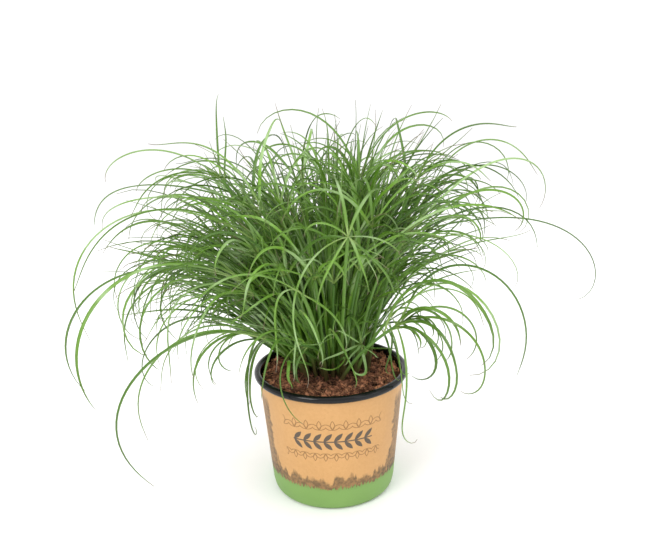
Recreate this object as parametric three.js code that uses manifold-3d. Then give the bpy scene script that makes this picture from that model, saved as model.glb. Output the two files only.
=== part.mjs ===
// A potted umbrella sedge, in millimetres, +Z up.
// The origin is the middle of the pot's flat base, and -Y is the side that faces the viewer.
// Every shoot is a three-sided stem with a whorl of long leaves on top, as on the real plant.
import * as THREE from 'three';
import { mergeVertices } from 'three/addons/utils/BufferGeometryUtils.js';
import Module from 'manifold-3d';

// Pot: a tapered plastic pot with a rolled rim and drain holes near the edge of its base
const POT_HEIGHT = 99;
const RIM_RADIUS = 60;
const ROLL_RADIUS = 3.5;
const WALL_TOP_RADIUS = 57;
const BASE_RADIUS = 48;
const BASE_ROUNDING = 5;
const WALL = 1.4;
const FLOOR = 2;
const POT_SEGMENTS = 36;
const ROLL_STEPS = 5;
const DRAIN_HOLES = 6;
const DRAIN_RADIUS = 4;
const DRAIN_CIRCLE = 36;

// Soil: coir that fills the pot to just below the rim, flat under the clump and lumpy around it
const SOIL_TOP = 90;
const SOIL_GAP = 0.3;
const LUMP_DEPTH = 3;
const SOIL_SEGMENTS = 32;
const SOIL_RINGS = 6;

// Clump: the shoots stand behind the pot's middle, in the order of a sunflower's seeds
const SHOOT_COUNT = 28;
const CLUMP_RADIUS = 32;
const CLUMP_BACK = 10;
const CROWN_RADIUS = 38;
const GOLDEN_ANGLE = 137.508;
const STEM_RADIUS = 1.7;
const STEM_STEPS = 5;
const FOOT_LIFT = 1.2;
const FOOT_SHARE = 0.2;

// Lean of the shoots that fill the clump, in degrees, and how far their whorls are from the soil
const INNER_LEAN = 4;
const EDGE_LEAN = 18;
const FRONT_LEAN = -16;
const RIGHT_LEAN = -14;
const LEFT_LEAN = 8;
const SHORTEST_REACH = 45;
const LONGEST_REACH = 115;

// Whorls: a small cup just above the stem, with the leaves growing out of it
const CUP_TOP_RADIUS = 3.2;
const CUP_BOTTOM_RADIUS = 1.8;
const CUP_ABOVE = 5;
const CUP_BELOW = 1.5;
const CUP_SIDES = 4;
const CUP_GAP = 0.3;
const START_RADIUS = 1.5;
const LONGEST_START = 4.3;
const HANGING_START = 0.8;
const LEAF_START = 0.35;

// Leaves: the steps of a leaf's course, and how much air it keeps to what is there already
const LEAF_STEPS = 24;
const STATION_STEP = 5;
const STATIONS = 4;
const KEEL_SHARE = 0.3;
const KEEL_LEAST = 0.3;
const LEAF_SPACE = 0.8;
const POT_SPACE = 3;
const FLOOR_SPACE = 5;
const TRIES = 40;
const EARLY_BEND = 1.5;
const LATE_BEND = 2.2;
const HOOK_BEND = 12;

// The leaves of the shoots that fill the clump are drawn by chance. The first two angles are
// from the stem's direction, for the innermost and the outermost leaf of a whorl.
const FILLING = { count: 11, closed: 4, open: 50, shortest: 95, longest: 155, thin: 1.6, wide: 3.4 };
const LEAST_DROOP = 5;
const MOST_DROOP = 105;
const LEFT_DROOP = 30;
const RIGHT_DROOP = -15;
const MOST_CURL = 40;
const FRONT_SHORTER = 0.35;
const BACK_SHORTER = 0.1;

const SEED = 83;
const DEGREE = Math.PI / 180;

// The shoots that draw the plant's outline. Each has its whorl's place, and for each leaf the
// heading, the rise, the length, the droop at the tip, the sideways curl and the width, then how
// late it bends, where that isn't EARLY_BEND, and how far its very tip hooks up.
const LEADING_SHOOTS = [
  {
    whorl: [13, -90, 222],
    leaves: [
      [172, 45, 36, 75, -35, 3], [156, -12, 126, 131, 61, 2.6, 0.8, 23], [291, -3, 42, 74, 31, 2.8, 0.5],
      [356, -41, 52, 96, 11, 3.2, 2.5], [40, -5, 42, 45, -70, 2.8], [60, 50, 60, 20, 0, 3],
      [100, 60, 60, 10, 0, 3], [233, -32, 52, 75, -12, 2.2],
    ],
  },
  {
    whorl: [-17, -84, 184],
    leaves: [
      [352, -27, 50, 90, -14, 3], [132, 36, 85, 130, -60, 2.6, 0.6, 37], [200, 40, 90, 80, 0, 2.6],
    ],
  },
  {
    whorl: [-75, -10, 250],
    leaves: [
      [195, 40, 95, 55, -10, 2.4], [100, 60, 70, -50, -15, 2], [215, 20, 80, 70, 20, 2.4],
    ],
  },
  {
    whorl: [-45, -30, 230],
    leaves: [
      [170, 20, 195, 60, -70, 2.8], [165, 10, 180, 40, -55, 2.4], [140, 55, 110, 30, 40, 2.4],
    ],
  },
  {
    whorl: [-50, -40, 210],
    leaves: [
      [185, 35, 195, 135, 15, 2.6], [200, 40, 150, 90, 10, 2.8], [165, 50, 120, 80, 10, 2.4],
    ],
  },
  {
    whorl: [-60, -50, 185],
    leaves: [
      [205, 30, 195, 150, 65, 3.8], [188, 22, 185, 120, -15, 3.6], [230, 40, 120, 90, 20, 3],
      [170, 45, 130, 100, 0, 2.4],
    ],
  },
  {
    whorl: [-45, -60, 145],
    leaves: [
      [225, 30, 185, 150, -55, 3.6], [-60, -200, 116, 71, 0, 3, 0.4, 220], [210, 30, 140, 130, 0, 3],
      [190, 40, 120, 110, 10, 2.8],
    ],
  },
  {
    whorl: [-21, -57, 139],
    leaves: [
      [167, -27, 71, 138, -12, 3, 0.8], [245, 40, 80, 100, 15, 2.6],
    ],
  },
  {
    whorl: [-58, 2, 160],
    leaves: [
      [185, 30, 150, 125, 0, 3], [175, 45, 170, 140, 20, 2.8], [200, 15, 110, 110, -10, 2.6],
      [160, 40, 130, 110, 0, 2.6],
    ],
  },
  {
    whorl: [-35, 15, 222],
    leaves: [
      [155, 55, 100, 40, 20, 3], [110, 68, 95, 30, 0, 3.4], [205, 50, 100, 70, 0, 3.2],
      [50, 72, 85, 40, 0, 3.4],
    ],
  },
  {
    whorl: [0, 0, 235],
    leaves: [
      [160, 78, 90, 100, 15, 3.6], [110, 60, 80, 10, 30, 2.4], [250, 70, 60, 40, 0, 3],
    ],
  },
  {
    whorl: [25, 0, 245],
    leaves: [
      [-10, 70, 90, 25, 0, 3], [90, 60, 70, 30, 0, 2.6], [180, 75, 60, 40, 20, 2.4],
    ],
  },
  {
    whorl: [65, -10, 245],
    leaves: [
      [-20, 65, 85, 35, 10, 2.8], [340, 40, 60, 70, 0, 2.4],
    ],
  },
  {
    whorl: [80, 28, 228],
    leaves: [
      [-20, 70, 110, 85, -10, 2.6], [10, 40, 100, 80, -10, 2.4],
    ],
  },
  {
    whorl: [45, -28, 147],
    leaves: [
      [-48, -12, 110, 111, 44, 3, 0.3, 186], [0, 50, 90, 100, 0, 2.6],
    ],
  },
  {
    whorl: [55, -30, 210],
    leaves: [
      [10, 42, 150, 135, 15, 3.6, 3], [-15, 38, 110, 140, 10, 4, 3],
      [-5, 12, 175, 115, 0, 1.8, 2.5],
    ],
  },
  {
    whorl: [50, -50, 150],
    leaves: [
      [-45, 70, 170, 140, -5, 4.2], [-40, 30, 115, 160, -5, 3.6], [-20, 45, 85, 140, -10, 3],
    ],
  },
];

// Repeatable random numbers between 0 and 1: each is the last one times 16807, modulo 2^31 - 1
class Draws {
  constructor(seed) {
    this.number = seed;
  }
  next() {
    this.number = (this.number * 16807) % 2147483647;
    return this.number / 2147483647;
  }
  between(low, high) {
    return low + (high - low) * this.next();
  }
}

const wasm = await Module();
wasm.setup();

function toSolid(geometry) {
  geometry.deleteAttribute('normal');
  geometry.deleteAttribute('uv');
  const merged = mergeVertices(geometry, 1e-4);
  const { Manifold, Mesh } = wasm;
  return new Manifold(new Mesh({
    numProp: 3,
    vertProperties: new Float32Array(merged.attributes.position.array),
    triVerts: new Uint32Array(merged.index.array),
  }));
}

function toGeometry(solid) {
  const mesh = solid.getMesh();
  const geometry = new THREE.BufferGeometry();
  geometry.setAttribute('position', new THREE.BufferAttribute(mesh.vertProperties, 3));
  geometry.setIndex(new THREE.BufferAttribute(mesh.triVerts, 1));
  geometry.computeVertexNormals();
  return geometry;
}

// Points on an arc in the plane of a turned profile, angles in degrees from the radius direction
function arc(radius, height, size, from, to, steps) {
  const points = [];
  for (let i = 0; i <= steps; i++) {
    const angle = (from + ((to - from) * i) / steps) * DEGREE;
    points.push(new THREE.Vector2(radius + size * Math.cos(angle), height + size * Math.sin(angle)));
  }
  return points;
}

// The radius of the pot's outer wall at a height above the base
function wallRadius(height) {
  return BASE_RADIUS + ((WALL_TOP_RADIUS - BASE_RADIUS) * height) / POT_HEIGHT;
}

function turned(profile, segments) {
  const geometry = new THREE.LatheGeometry(profile, segments);
  geometry.rotateX(Math.PI / 2);
  return geometry;
}

function pot() {
  const rollRadius = RIM_RADIUS - ROLL_RADIUS;
  const rollHeight = POT_HEIGHT - ROLL_RADIUS;
  const profile = [
    new THREE.Vector2(0, 0),
    ...arc(BASE_RADIUS - BASE_ROUNDING, BASE_ROUNDING, BASE_ROUNDING, -90, -6, 3),
    new THREE.Vector2(wallRadius(rollHeight - ROLL_RADIUS), rollHeight - ROLL_RADIUS),
    ...arc(rollRadius, rollHeight, ROLL_RADIUS, -70, 180, ROLL_STEPS),
    new THREE.Vector2(wallRadius(SOIL_TOP) - WALL, SOIL_TOP),
    new THREE.Vector2(BASE_RADIUS - WALL, BASE_ROUNDING + FLOOR),
    new THREE.Vector2(BASE_RADIUS - BASE_ROUNDING, FLOOR),
    new THREE.Vector2(0, FLOOR),
  ];
  let solid = toSolid(turned(profile, POT_SEGMENTS));
  const hole = new THREE.CylinderGeometry(DRAIN_RADIUS, DRAIN_RADIUS, 3 * FLOOR, 10);
  hole.rotateX(Math.PI / 2);
  const drain = toSolid(hole);
  for (let i = 0; i < DRAIN_HOLES; i++) {
    const angle = (i / DRAIN_HOLES) * 2 * Math.PI;
    const moved = drain.translate([DRAIN_CIRCLE * Math.cos(angle), DRAIN_CIRCLE * Math.sin(angle), 0]);
    solid = solid.subtract(moved);
  }
  return toGeometry(solid);
}

// How deep the soil is hollowed between its lumps: not at all where the shoots stand
function hollow(x, y) {
  if (Math.hypot(x, y - CLUMP_BACK) < CROWN_RADIUS) return 0;
  const wave = Math.sin(x * 0.31 + 1.7 * Math.sin(y * 0.23)) * Math.cos(y * 0.37 + x * 0.11);
  return (LUMP_DEPTH * (1 + wave)) / 2;
}

function soil() {
  const bottom = FLOOR + SOIL_GAP;
  const shoulder = BASE_ROUNDING + FLOOR;
  const edge = wallRadius(SOIL_TOP - LUMP_DEPTH) - WALL - 2 * SOIL_GAP;
  const profile = [
    new THREE.Vector2(0, bottom),
    new THREE.Vector2(BASE_RADIUS - BASE_ROUNDING - 2 * SOIL_GAP, bottom),
    new THREE.Vector2(BASE_RADIUS - WALL - 2 * SOIL_GAP, shoulder),
  ];
  for (let ring = SOIL_RINGS; ring >= 0; ring--) {
    profile.push(new THREE.Vector2((edge * ring) / SOIL_RINGS, SOIL_TOP));
  }
  const geometry = turned(profile, SOIL_SEGMENTS);
  const position = geometry.attributes.position;
  for (let i = 0; i < position.count; i++) {
    if (position.getZ(i) > SOIL_TOP - 1) {
      position.setZ(i, SOIL_TOP - hollow(position.getX(i), position.getY(i)));
    }
  }
  return toGeometry(toSolid(geometry));
}

// The places where the shoots stand, from the middle of the clump outwards
function clumpFeet() {
  const feet = [];
  for (let i = 0; i < SHOOT_COUNT; i++) {
    const turn = GOLDEN_ANGLE * i * DEGREE;
    const reach = CLUMP_RADIUS * Math.sqrt((i + 0.5) / SHOOT_COUNT);
    const x = reach * Math.cos(turn);
    const y = CLUMP_BACK + reach * Math.sin(turn);
    feet.push(new THREE.Vector3(x, y, SOIL_TOP));
  }
  return feet;
}

// Takes the free foot that is nearest to the point below a share of the whorl's reach
function takeFoot(feet, whorl) {
  const wish = new THREE.Vector3(0, CLUMP_BACK, 0).lerp(whorl, FOOT_SHARE).setZ(SOIL_TOP);
  let best = 0;
  feet.forEach((foot, i) => {
    if (foot.distanceTo(wish) < feet[best].distanceTo(wish)) best = i;
  });
  return feet.splice(best, 1)[0];
}

// A stem is a curve that leaves the soil steeply and leans out towards its whorl
function stemCurve(foot, whorl) {
  const bend = new THREE.Vector3(
    foot.x * 0.7 + whorl.x * 0.3,
    foot.y * 0.7 + whorl.y * 0.3,
    foot.z * 0.45 + whorl.z * 0.55,
  );
  const axis = whorl.clone().sub(bend).normalize();
  const top = whorl.clone().addScaledVector(axis, -CUP_BELOW - CUP_GAP);
  const start = foot.clone().setZ(foot.z + FOOT_LIFT);
  return { curve: new THREE.QuadraticBezierCurve3(start, bend, top), axis };
}

// How far a heading points to each side of the plant, from 0 to 1
function facing(heading) {
  return {
    front: Math.max(0, -Math.sin(heading)),
    back: Math.max(0, Math.sin(heading)),
    right: Math.max(0, Math.cos(heading)),
    left: Math.max(0, -Math.cos(heading)),
  };
}

// Where a shoot that fills the clump has its whorl: outer feet lean out, least to the front
function fillingWhorl(foot, draws) {
  const aside = new THREE.Vector2(foot.x, foot.y - CLUMP_BACK);
  const heading = aside.angle();
  const { front, right, left } = facing(heading);
  const edge = EDGE_LEAN + FRONT_LEAN * front + RIGHT_LEAN * right + LEFT_LEAN * left;
  const share = aside.length() / CLUMP_RADIUS;
  const lean = (INNER_LEAN + edge * share ** 1.4) * DEGREE;
  const reach = draws.between(SHORTEST_REACH, LONGEST_REACH);
  const way = new THREE.Vector3(
    Math.sin(lean) * Math.cos(heading),
    Math.sin(lean) * Math.sin(heading),
    Math.cos(lean),
  );
  return foot.clone().addScaledVector(way, reach);
}

// Two directions square to an axis and to each other
function acrossAxis(axis) {
  const first = new THREE.Vector3(axis.y, -axis.x, 0);
  if (first.length() < 1e-3) first.set(1, 0, 0);
  first.normalize();
  return [first, new THREE.Vector3().crossVectors(axis, first)];
}

// A leaf that leaves its whorl close to the stem's direction and bends late
function drawnLeaf(axis, place, draws) {
  const [across, along] = acrossAxis(axis);
  const round = (GOLDEN_ANGLE * place + draws.between(-15, 15)) * DEGREE;
  const outward = Math.sqrt((place + draws.next()) / FILLING.count);
  const open = (FILLING.closed + (FILLING.open - FILLING.closed) * outward) * DEGREE;
  const way = axis.clone().multiplyScalar(Math.cos(open));
  way.addScaledVector(across, Math.sin(open) * Math.cos(round));
  way.addScaledVector(along, Math.sin(open) * Math.sin(round));
  const heading = Math.atan2(way.y, way.x);
  const { front, back, right, left } = facing(heading);
  const shorter = 1 - FRONT_SHORTER * front - BACK_SHORTER * back;
  return {
    heading: heading / DEGREE,
    rise: Math.asin(THREE.MathUtils.clamp(way.z, -1, 1)) / DEGREE,
    length: draws.between(FILLING.shortest, FILLING.longest) * shorter,
    droop: draws.between(LEAST_DROOP, MOST_DROOP) + LEFT_DROOP * left + RIGHT_DROOP * right,
    curl: draws.between(-MOST_CURL, MOST_CURL),
    width: draws.between(FILLING.thin, FILLING.wide),
    bend: LATE_BEND,
    hook: 0,
  };
}

// How far a leaf rises at a share of its length: it falls to the droop, and the tip may hook up
function leafRise(leaf, share) {
  const fall = (leaf.rise + leaf.droop) * share ** leaf.bend;
  return (leaf.rise - fall + leaf.hook * share ** HOOK_BEND) * DEGREE;
}

// The points that a leaf passes, with its heading curling sideways
function leafCourse(whorl, leaf) {
  const points = [whorl.clone()];
  const step = leaf.length / LEAF_STEPS;
  for (let i = 0; i < LEAF_STEPS; i++) {
    const share = (i + 0.5) / LEAF_STEPS;
    const rise = leafRise(leaf, share);
    const heading = (leaf.heading + leaf.curl * share * share) * DEGREE;
    const way = new THREE.Vector3(
      Math.cos(rise) * Math.cos(heading),
      Math.cos(rise) * Math.sin(heading),
      Math.sin(rise),
    );
    points.push(points[i].clone().addScaledVector(way, step));
  }
  return points;
}

// The few points of the course that the solid leaf has: whorl, stations and tip
function stationPoints(course) {
  const points = [course[0]];
  for (let i = 1; i <= STATIONS; i++) points.push(course[i * STATION_STEP]);
  points.push(course[LEAF_STEPS]);
  return points;
}

// The shortest distance between two straight stretches
function stretchDistance(a, b) {
  const u = b.to.clone().sub(b.from);
  const v = a.to.clone().sub(a.from);
  const w = b.from.clone().sub(a.from);
  const uu = u.dot(u);
  const uv = u.dot(v);
  const vv = v.dot(v);
  const uw = u.dot(w);
  const vw = v.dot(w);
  const parallel = uu * vv - uv * uv;
  let s = parallel > 1e-9 ? THREE.MathUtils.clamp((uv * vw - vv * uw) / parallel, 0, 1) : 0;
  const t = THREE.MathUtils.clamp((uv * s + vw) / vv, 0, 1);
  s = THREE.MathUtils.clamp((uv * t - uw) / uu, 0, 1);
  return w.addScaledVector(u, s).addScaledVector(v, -t).length();
}

function stretches(points, radius, shoot, rooted) {
  const made = [];
  for (let i = 0; i + 1 < points.length; i++) {
    made.push({ from: points[i], to: points[i + 1], radius, shoot, root: rooted && i === 0 });
  }
  return made;
}

// A leaf is clear when it stays off the pot and the floor, and off all that was placed before
function isClear(course, placed) {
  for (const part of course) {
    for (const share of [1 / 3, 2 / 3, 1]) {
      const point = part.from.clone().lerp(part.to, share);
      const reach = Math.hypot(point.x, point.y);
      if (point.z < FLOOR_SPACE) return false;
      if (point.z < POT_HEIGHT + POT_SPACE && reach < RIM_RADIUS + POT_SPACE) return false;
    }
    for (const other of placed) {
      if (other.shoot === part.shoot && (other.root || part.root)) continue;
      if (stretchDistance(part, other) < part.radius + other.radius + LEAF_SPACE) return false;
    }
  }
  return true;
}

// The shoots with their feet and whorls: leading ones take their feet first
function standingShoots(draws) {
  const feet = clumpFeet();
  const shoots = LEADING_SHOOTS.map(({ whorl, leaves }) => {
    const place = new THREE.Vector3(...whorl);
    const given = leaves.map(([heading, rise, length, droop, curl, width, bend = EARLY_BEND, hook = 0]) => (
      { heading, rise, length, droop, curl, width, bend, hook }
    ));
    return { foot: takeFoot(feet, place), whorl: place, leaves: given, drawn: 0 };
  });
  for (const foot of feet) {
    shoots.push({ foot, whorl: fillingWhorl(foot, draws), leaves: [], drawn: FILLING.count });
  }
  return shoots;
}

// The stretches between a leaf's stations
function leafStretches(leaf, number) {
  return stretches(stationPoints(leaf.course), leaf.width / 2, number, true);
}

// Draws leaves until one is clear of all that is placed; gives nothing when none is
function clearLeaf(shoot, number, place, placed, draws) {
  for (let attempt = 0; attempt < TRIES; attempt++) {
    const leaf = drawnLeaf(shoot.axis, place, draws);
    leaf.course = leafCourse(shoot.whorl, leaf);
    if (isClear(leafStretches(leaf, number), placed)) return leaf;
  }
  return null;
}

// Grows every shoot: stems first, then the leading leaves, then the leaves that fill
function growShoots() {
  const draws = new Draws(SEED);
  const shoots = standingShoots(draws);
  const placed = [];
  shoots.forEach((shoot, number) => {
    Object.assign(shoot, stemCurve(shoot.foot, shoot.whorl));
    placed.push(...stretches(shoot.curve.getPoints(STEM_STEPS), STEM_RADIUS, number, false));
  });
  shoots.forEach((shoot, number) => {
    for (const leaf of shoot.leaves) {
      leaf.course = leafCourse(shoot.whorl, leaf);
      placed.push(...leafStretches(leaf, number));
    }
  });
  shoots.forEach((shoot, number) => {
    for (let place = 0; place < shoot.drawn; place++) {
      const leaf = clearLeaf(shoot, number, place, placed, draws);
      if (!leaf) continue;
      shoot.leaves.push(leaf);
      placed.push(...leafStretches(leaf, number));
    }
  });
  return shoots;
}

function stem(shoot) {
  const section = new THREE.Shape();
  for (let i = 0; i < 3; i++) {
    const angle = (i / 3) * 2 * Math.PI;
    const corner = [STEM_RADIUS * Math.cos(angle), STEM_RADIUS * Math.sin(angle)];
    if (i === 0) section.moveTo(...corner);
    else section.lineTo(...corner);
  }
  section.closePath();
  return new THREE.ExtrudeGeometry(section, { steps: STEM_STEPS, extrudePath: shoot.curve });
}

// A leaf is widest in its middle and runs out to a point
function leafWidth(leaf, share) {
  return leaf.width * Math.min(1, LEAF_START + 3 * share) * (1 - share ** 3);
}

// Three points of a leaf's section: its two edges and the keel under it, from left to right
function leafSection(leaf, index, point = leaf.course[index]) {
  const share = index / LEAF_STEPS;
  const heading = (leaf.heading + leaf.curl * share * share) * DEGREE;
  const rise = leafRise(leaf, share);
  const side = new THREE.Vector3(-Math.sin(heading), Math.cos(heading), 0);
  const under = new THREE.Vector3(
    Math.sin(rise) * Math.cos(heading),
    Math.sin(rise) * Math.sin(heading),
    -Math.cos(rise),
  );
  const half = leafWidth(leaf, share) / 2;
  return [
    point.clone().addScaledVector(side, half),
    point.clone().addScaledVector(side, -half),
    point.clone().addScaledVector(under, 2 * half * KEEL_SHARE + KEEL_LEAST),
  ];
}

// Closes a tube between rings of three points, with a flat start and a pointed end
function pointedTube(rings, tip) {
  const corners = [rings[0][0], rings[0][2], rings[0][1]];
  const triangle = (...points) => corners.push(...points);
  rings.forEach((ring, i) => {
    const next = rings[i + 1];
    ring.forEach((point, k) => {
      const j = (k + 1) % ring.length;
      if (next) {
        triangle(point, ring[j], next[j]);
        triangle(point, next[j], next[k]);
      } else {
        triangle(point, ring[j], tip);
      }
    });
  });
  return new THREE.BufferGeometry().setFromPoints(corners);
}

// Where a leaf comes out of the cup: close to the axis, and higher up the steeper it grows.
// A leaf that hangs back past its stem starts near the cup's middle, where it is still inside.
function startPoint(leaf, axis) {
  const way = leaf.course[1].clone().sub(leaf.course[0]).normalize();
  const angle = way.angleTo(axis);
  const growing = Math.min(LONGEST_START, START_RADIUS / Math.max(Math.sin(angle), 0.01));
  const distance = angle > Math.PI / 2 ? HANGING_START : growing;
  return leaf.course[0].clone().addScaledVector(way, distance);
}

// Whorl: the leaves all start inside a small cup, which joins them in one solid
function whorl(shoot) {
  const height = CUP_ABOVE + CUP_BELOW;
  const cup = new THREE.CylinderGeometry(CUP_TOP_RADIUS, CUP_BOTTOM_RADIUS, height, CUP_SIDES);
  cup.translate(0, height / 2 - CUP_BELOW, 0);
  cup.applyQuaternion(new THREE.Quaternion().setFromUnitVectors(new THREE.Vector3(0, 1, 0), shoot.axis));
  cup.translate(...shoot.whorl.toArray());
  let solid = toSolid(cup);
  for (const leaf of shoot.leaves) {
    const rings = [leafSection(leaf, 0, startPoint(leaf, shoot.axis))];
    for (let station = 1; station <= STATIONS; station++) {
      rings.push(leafSection(leaf, station * STATION_STEP));
    }
    solid = solid.add(toSolid(pointedTube(rings, leaf.course[LEAF_STEPS])));
  }
  return toGeometry(solid);
}

const plant = new THREE.Group();

function add(name, geometry, color, roughness) {
  const material = new THREE.MeshStandardMaterial({ color, roughness, metalness: 0 });
  const mesh = new THREE.Mesh(geometry, material);
  mesh.name = name;
  plant.add(mesh);
}

add('pot', pot(), 0xdcae78, 0.5);
add('soil', soil(), 0x5a3828, 0.95);
growShoots().forEach((shoot, i) => {
  const number = String(i + 1).padStart(2, '0');
  add(`stem_${number}`, stem(shoot), 0x557d2e, 0.5);
  add(`leaves_${number}`, whorl(shoot), 0x69973a, 0.45);
});

export default plant;
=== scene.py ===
# %% [markdown]
# # A potted umbrella sedge
#
# A young umbrella sedge is a pond plant that is sold in a small printed pot. The pot is filled with
# coir, slim three-sided stems rise from it in a clump, and each stem carries a whorl of long leaves
# that arch over and hang down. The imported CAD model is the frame: it has the pot, the soil, 28 stems
# and 28 whorls as plain solids. This lesson grows the same plant again with fine leaves, adds young
# shoots between them, and gives every piece its finish.

import math

import bpy
import numpy as np
from mathutils import Matrix, Vector


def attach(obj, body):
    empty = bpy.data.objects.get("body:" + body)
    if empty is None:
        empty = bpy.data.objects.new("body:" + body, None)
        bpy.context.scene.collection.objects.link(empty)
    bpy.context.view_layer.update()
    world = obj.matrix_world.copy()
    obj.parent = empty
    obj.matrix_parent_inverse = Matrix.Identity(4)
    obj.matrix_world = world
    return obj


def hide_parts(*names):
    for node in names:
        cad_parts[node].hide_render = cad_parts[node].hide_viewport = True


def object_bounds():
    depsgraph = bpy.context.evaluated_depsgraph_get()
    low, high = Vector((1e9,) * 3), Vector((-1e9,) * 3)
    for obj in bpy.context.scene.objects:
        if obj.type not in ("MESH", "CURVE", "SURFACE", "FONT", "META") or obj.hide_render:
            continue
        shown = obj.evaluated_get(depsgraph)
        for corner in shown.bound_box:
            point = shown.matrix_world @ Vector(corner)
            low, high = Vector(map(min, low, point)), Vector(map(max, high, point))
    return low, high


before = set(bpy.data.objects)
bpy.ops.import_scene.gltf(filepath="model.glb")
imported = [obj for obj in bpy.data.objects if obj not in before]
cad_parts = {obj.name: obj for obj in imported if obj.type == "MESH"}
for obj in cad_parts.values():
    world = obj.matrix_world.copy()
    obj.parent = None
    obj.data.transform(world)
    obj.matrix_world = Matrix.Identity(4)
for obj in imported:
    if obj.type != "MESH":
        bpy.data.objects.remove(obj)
cad_low, cad_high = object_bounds()
MM = 0.001
CAD_LOW = np.array(cad_low) / MM
CAD_HIGH = np.array(cad_high) / MM
print("CAD box in mm:", CAD_LOW.round(1), CAD_HIGH.round(1))

# %% [markdown]
# ## Camera
#
# A camera is found from an object of a known form. The pot is round, so its rim and foot are circles
# that look like ellipses. How flat they are gives the pitch, how much the foot looks smaller than the
# rim gives the distance, and the width of the rim then gives the focal length. A slight roll stands
# the pot as it leans in the picture. The lens is worked out for a picture 658 pixels wide.

# %% Camera
IMAGE_WIDTH = 658
FOCAL_PIXELS = 720
SENSOR_WIDTH = 36
CAMERA_PITCH = math.radians(16.2)
CAMERA_ROLL = math.radians(1.6)
CAMERA_PLACE = Vector((0.5, -523, 321)) * MM


def link(item):
    bpy.context.scene.collection.objects.link(item)
    return item


def place_camera():
    """Looks along +Y, turned down by the pitch and about its own axis by the roll."""
    data = bpy.data.cameras.new("camera")
    data.sensor_width = SENSOR_WIDTH
    data.lens = FOCAL_PIXELS * SENSOR_WIDTH / IMAGE_WIDTH
    camera = link(bpy.data.objects.new("camera", data))
    level = Matrix.Rotation(math.pi / 2 - CAMERA_PITCH, 4, "X")
    roll = Matrix.Rotation(-CAMERA_ROLL, 4, "Z")
    camera.matrix_world = Matrix.Translation(CAMERA_PLACE) @ level @ roll
    bpy.context.scene.camera = camera
    return camera


camera = place_camera()
print("lens", round(camera.data.lens, 2), "mm")

# %% [markdown]
# ## Light
#
# The picture is a bright product shot: white all round, with hardly a shadow. A white world gives
# light from every side, and three large soft lamps shape the leaves: a broad one above, a stronger
# one from the upper left in front, and a weak one from the right. Area lamps are used because their
# size softens the shadows between the leaves.

# %% Light
WORLD_STRENGTH = 1.1
LAMPS = {
    "top_lamp": ((0.0, 0.1, 1.5), 1.6, 8),
    "left_lamp": ((-0.9, -1.1, 1.2), 0.7, 12),
    "right_lamp": ((1.1, -0.8, 0.7), 1.0, 3),
}
LAMP_TARGET = Vector((0, 0, 0.17))


def light_world():
    """The same white light from every side."""
    world = bpy.data.worlds.new("white_world")
    world.use_nodes = True
    background = world.node_tree.nodes["Background"]
    background.inputs["Color"].default_value = (1, 1, 1, 1)
    background.inputs["Strength"].default_value = WORLD_STRENGTH
    bpy.context.scene.world = world


def place_lamp(name, place, size, power):
    """A square area lamp that looks at the middle of the plant."""
    data = bpy.data.lights.new(name, "AREA")
    data.size = size
    data.energy = power
    lamp = link(bpy.data.objects.new(name, data))
    lamp.location = place
    lamp.rotation_euler = (LAMP_TARGET - lamp.location).to_track_quat("-Z", "Y").to_euler()


light_world()
for name, (place, size, power) in LAMPS.items():
    place_lamp(name, place, size, power)
bpy.context.scene.view_settings.view_transform = "Standard"
print("lamps:", ", ".join(LAMPS))

# %% [markdown]
# ## A mesh from rings
#
# Nearly everything here is long and thin or turned: leaves, stems, fibres and the pot. All of them
# are rings of points that follow each other, so one function makes all the meshes. A ring is a row
# of points round a section, neighbouring rings are joined by quads, and the two ends are closed by
# one flat face each. Many tubes go into one mesh at once as one array. A few short functions come
# first, which place points and give directions for whole arrays.


# %% Points and directions
def evenly(count):
    """So many angles, spread evenly round a circle."""
    return np.linspace(0, 2 * np.pi, count, endpoint=False)


def polar(reach, angle, height):
    """Points by their distance from the axis, their angle round it and their height."""
    parts = np.broadcast_arrays(reach * np.cos(angle), reach * np.sin(angle), height)
    return np.stack(parts, axis=-1)


def from_axis(points):
    """How far points are from the axis."""
    return np.hypot(points[..., 0], points[..., 1])


def sideways(heading):
    """The level direction square to a heading."""
    return np.stack([-np.sin(heading), np.cos(heading), np.zeros_like(heading)], axis=-1)


def unit(rows):
    """The direction of each vector, with a length of one."""
    return rows / np.linalg.norm(rows, axis=-1, keepdims=True)


def around(line, side, up, beside, above):
    """Rings round a line: each point lies so far to the line's side and so far up from it."""
    beside = side[..., None, :] * beside[..., None]
    above = up[..., None, :] * above[..., None]
    return line[..., None, :] + beside + above


# %% A mesh from rings
def signed_volume(points, faces):
    """The sum over the faces' fans of corner . (next corner x the one after), divided by six."""
    first = points[faces[:, :1]]
    second = points[faces[:, 1:-1]]
    third = points[faces[:, 2:]]
    return np.sum(first * np.cross(second, third)) / 6


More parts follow.
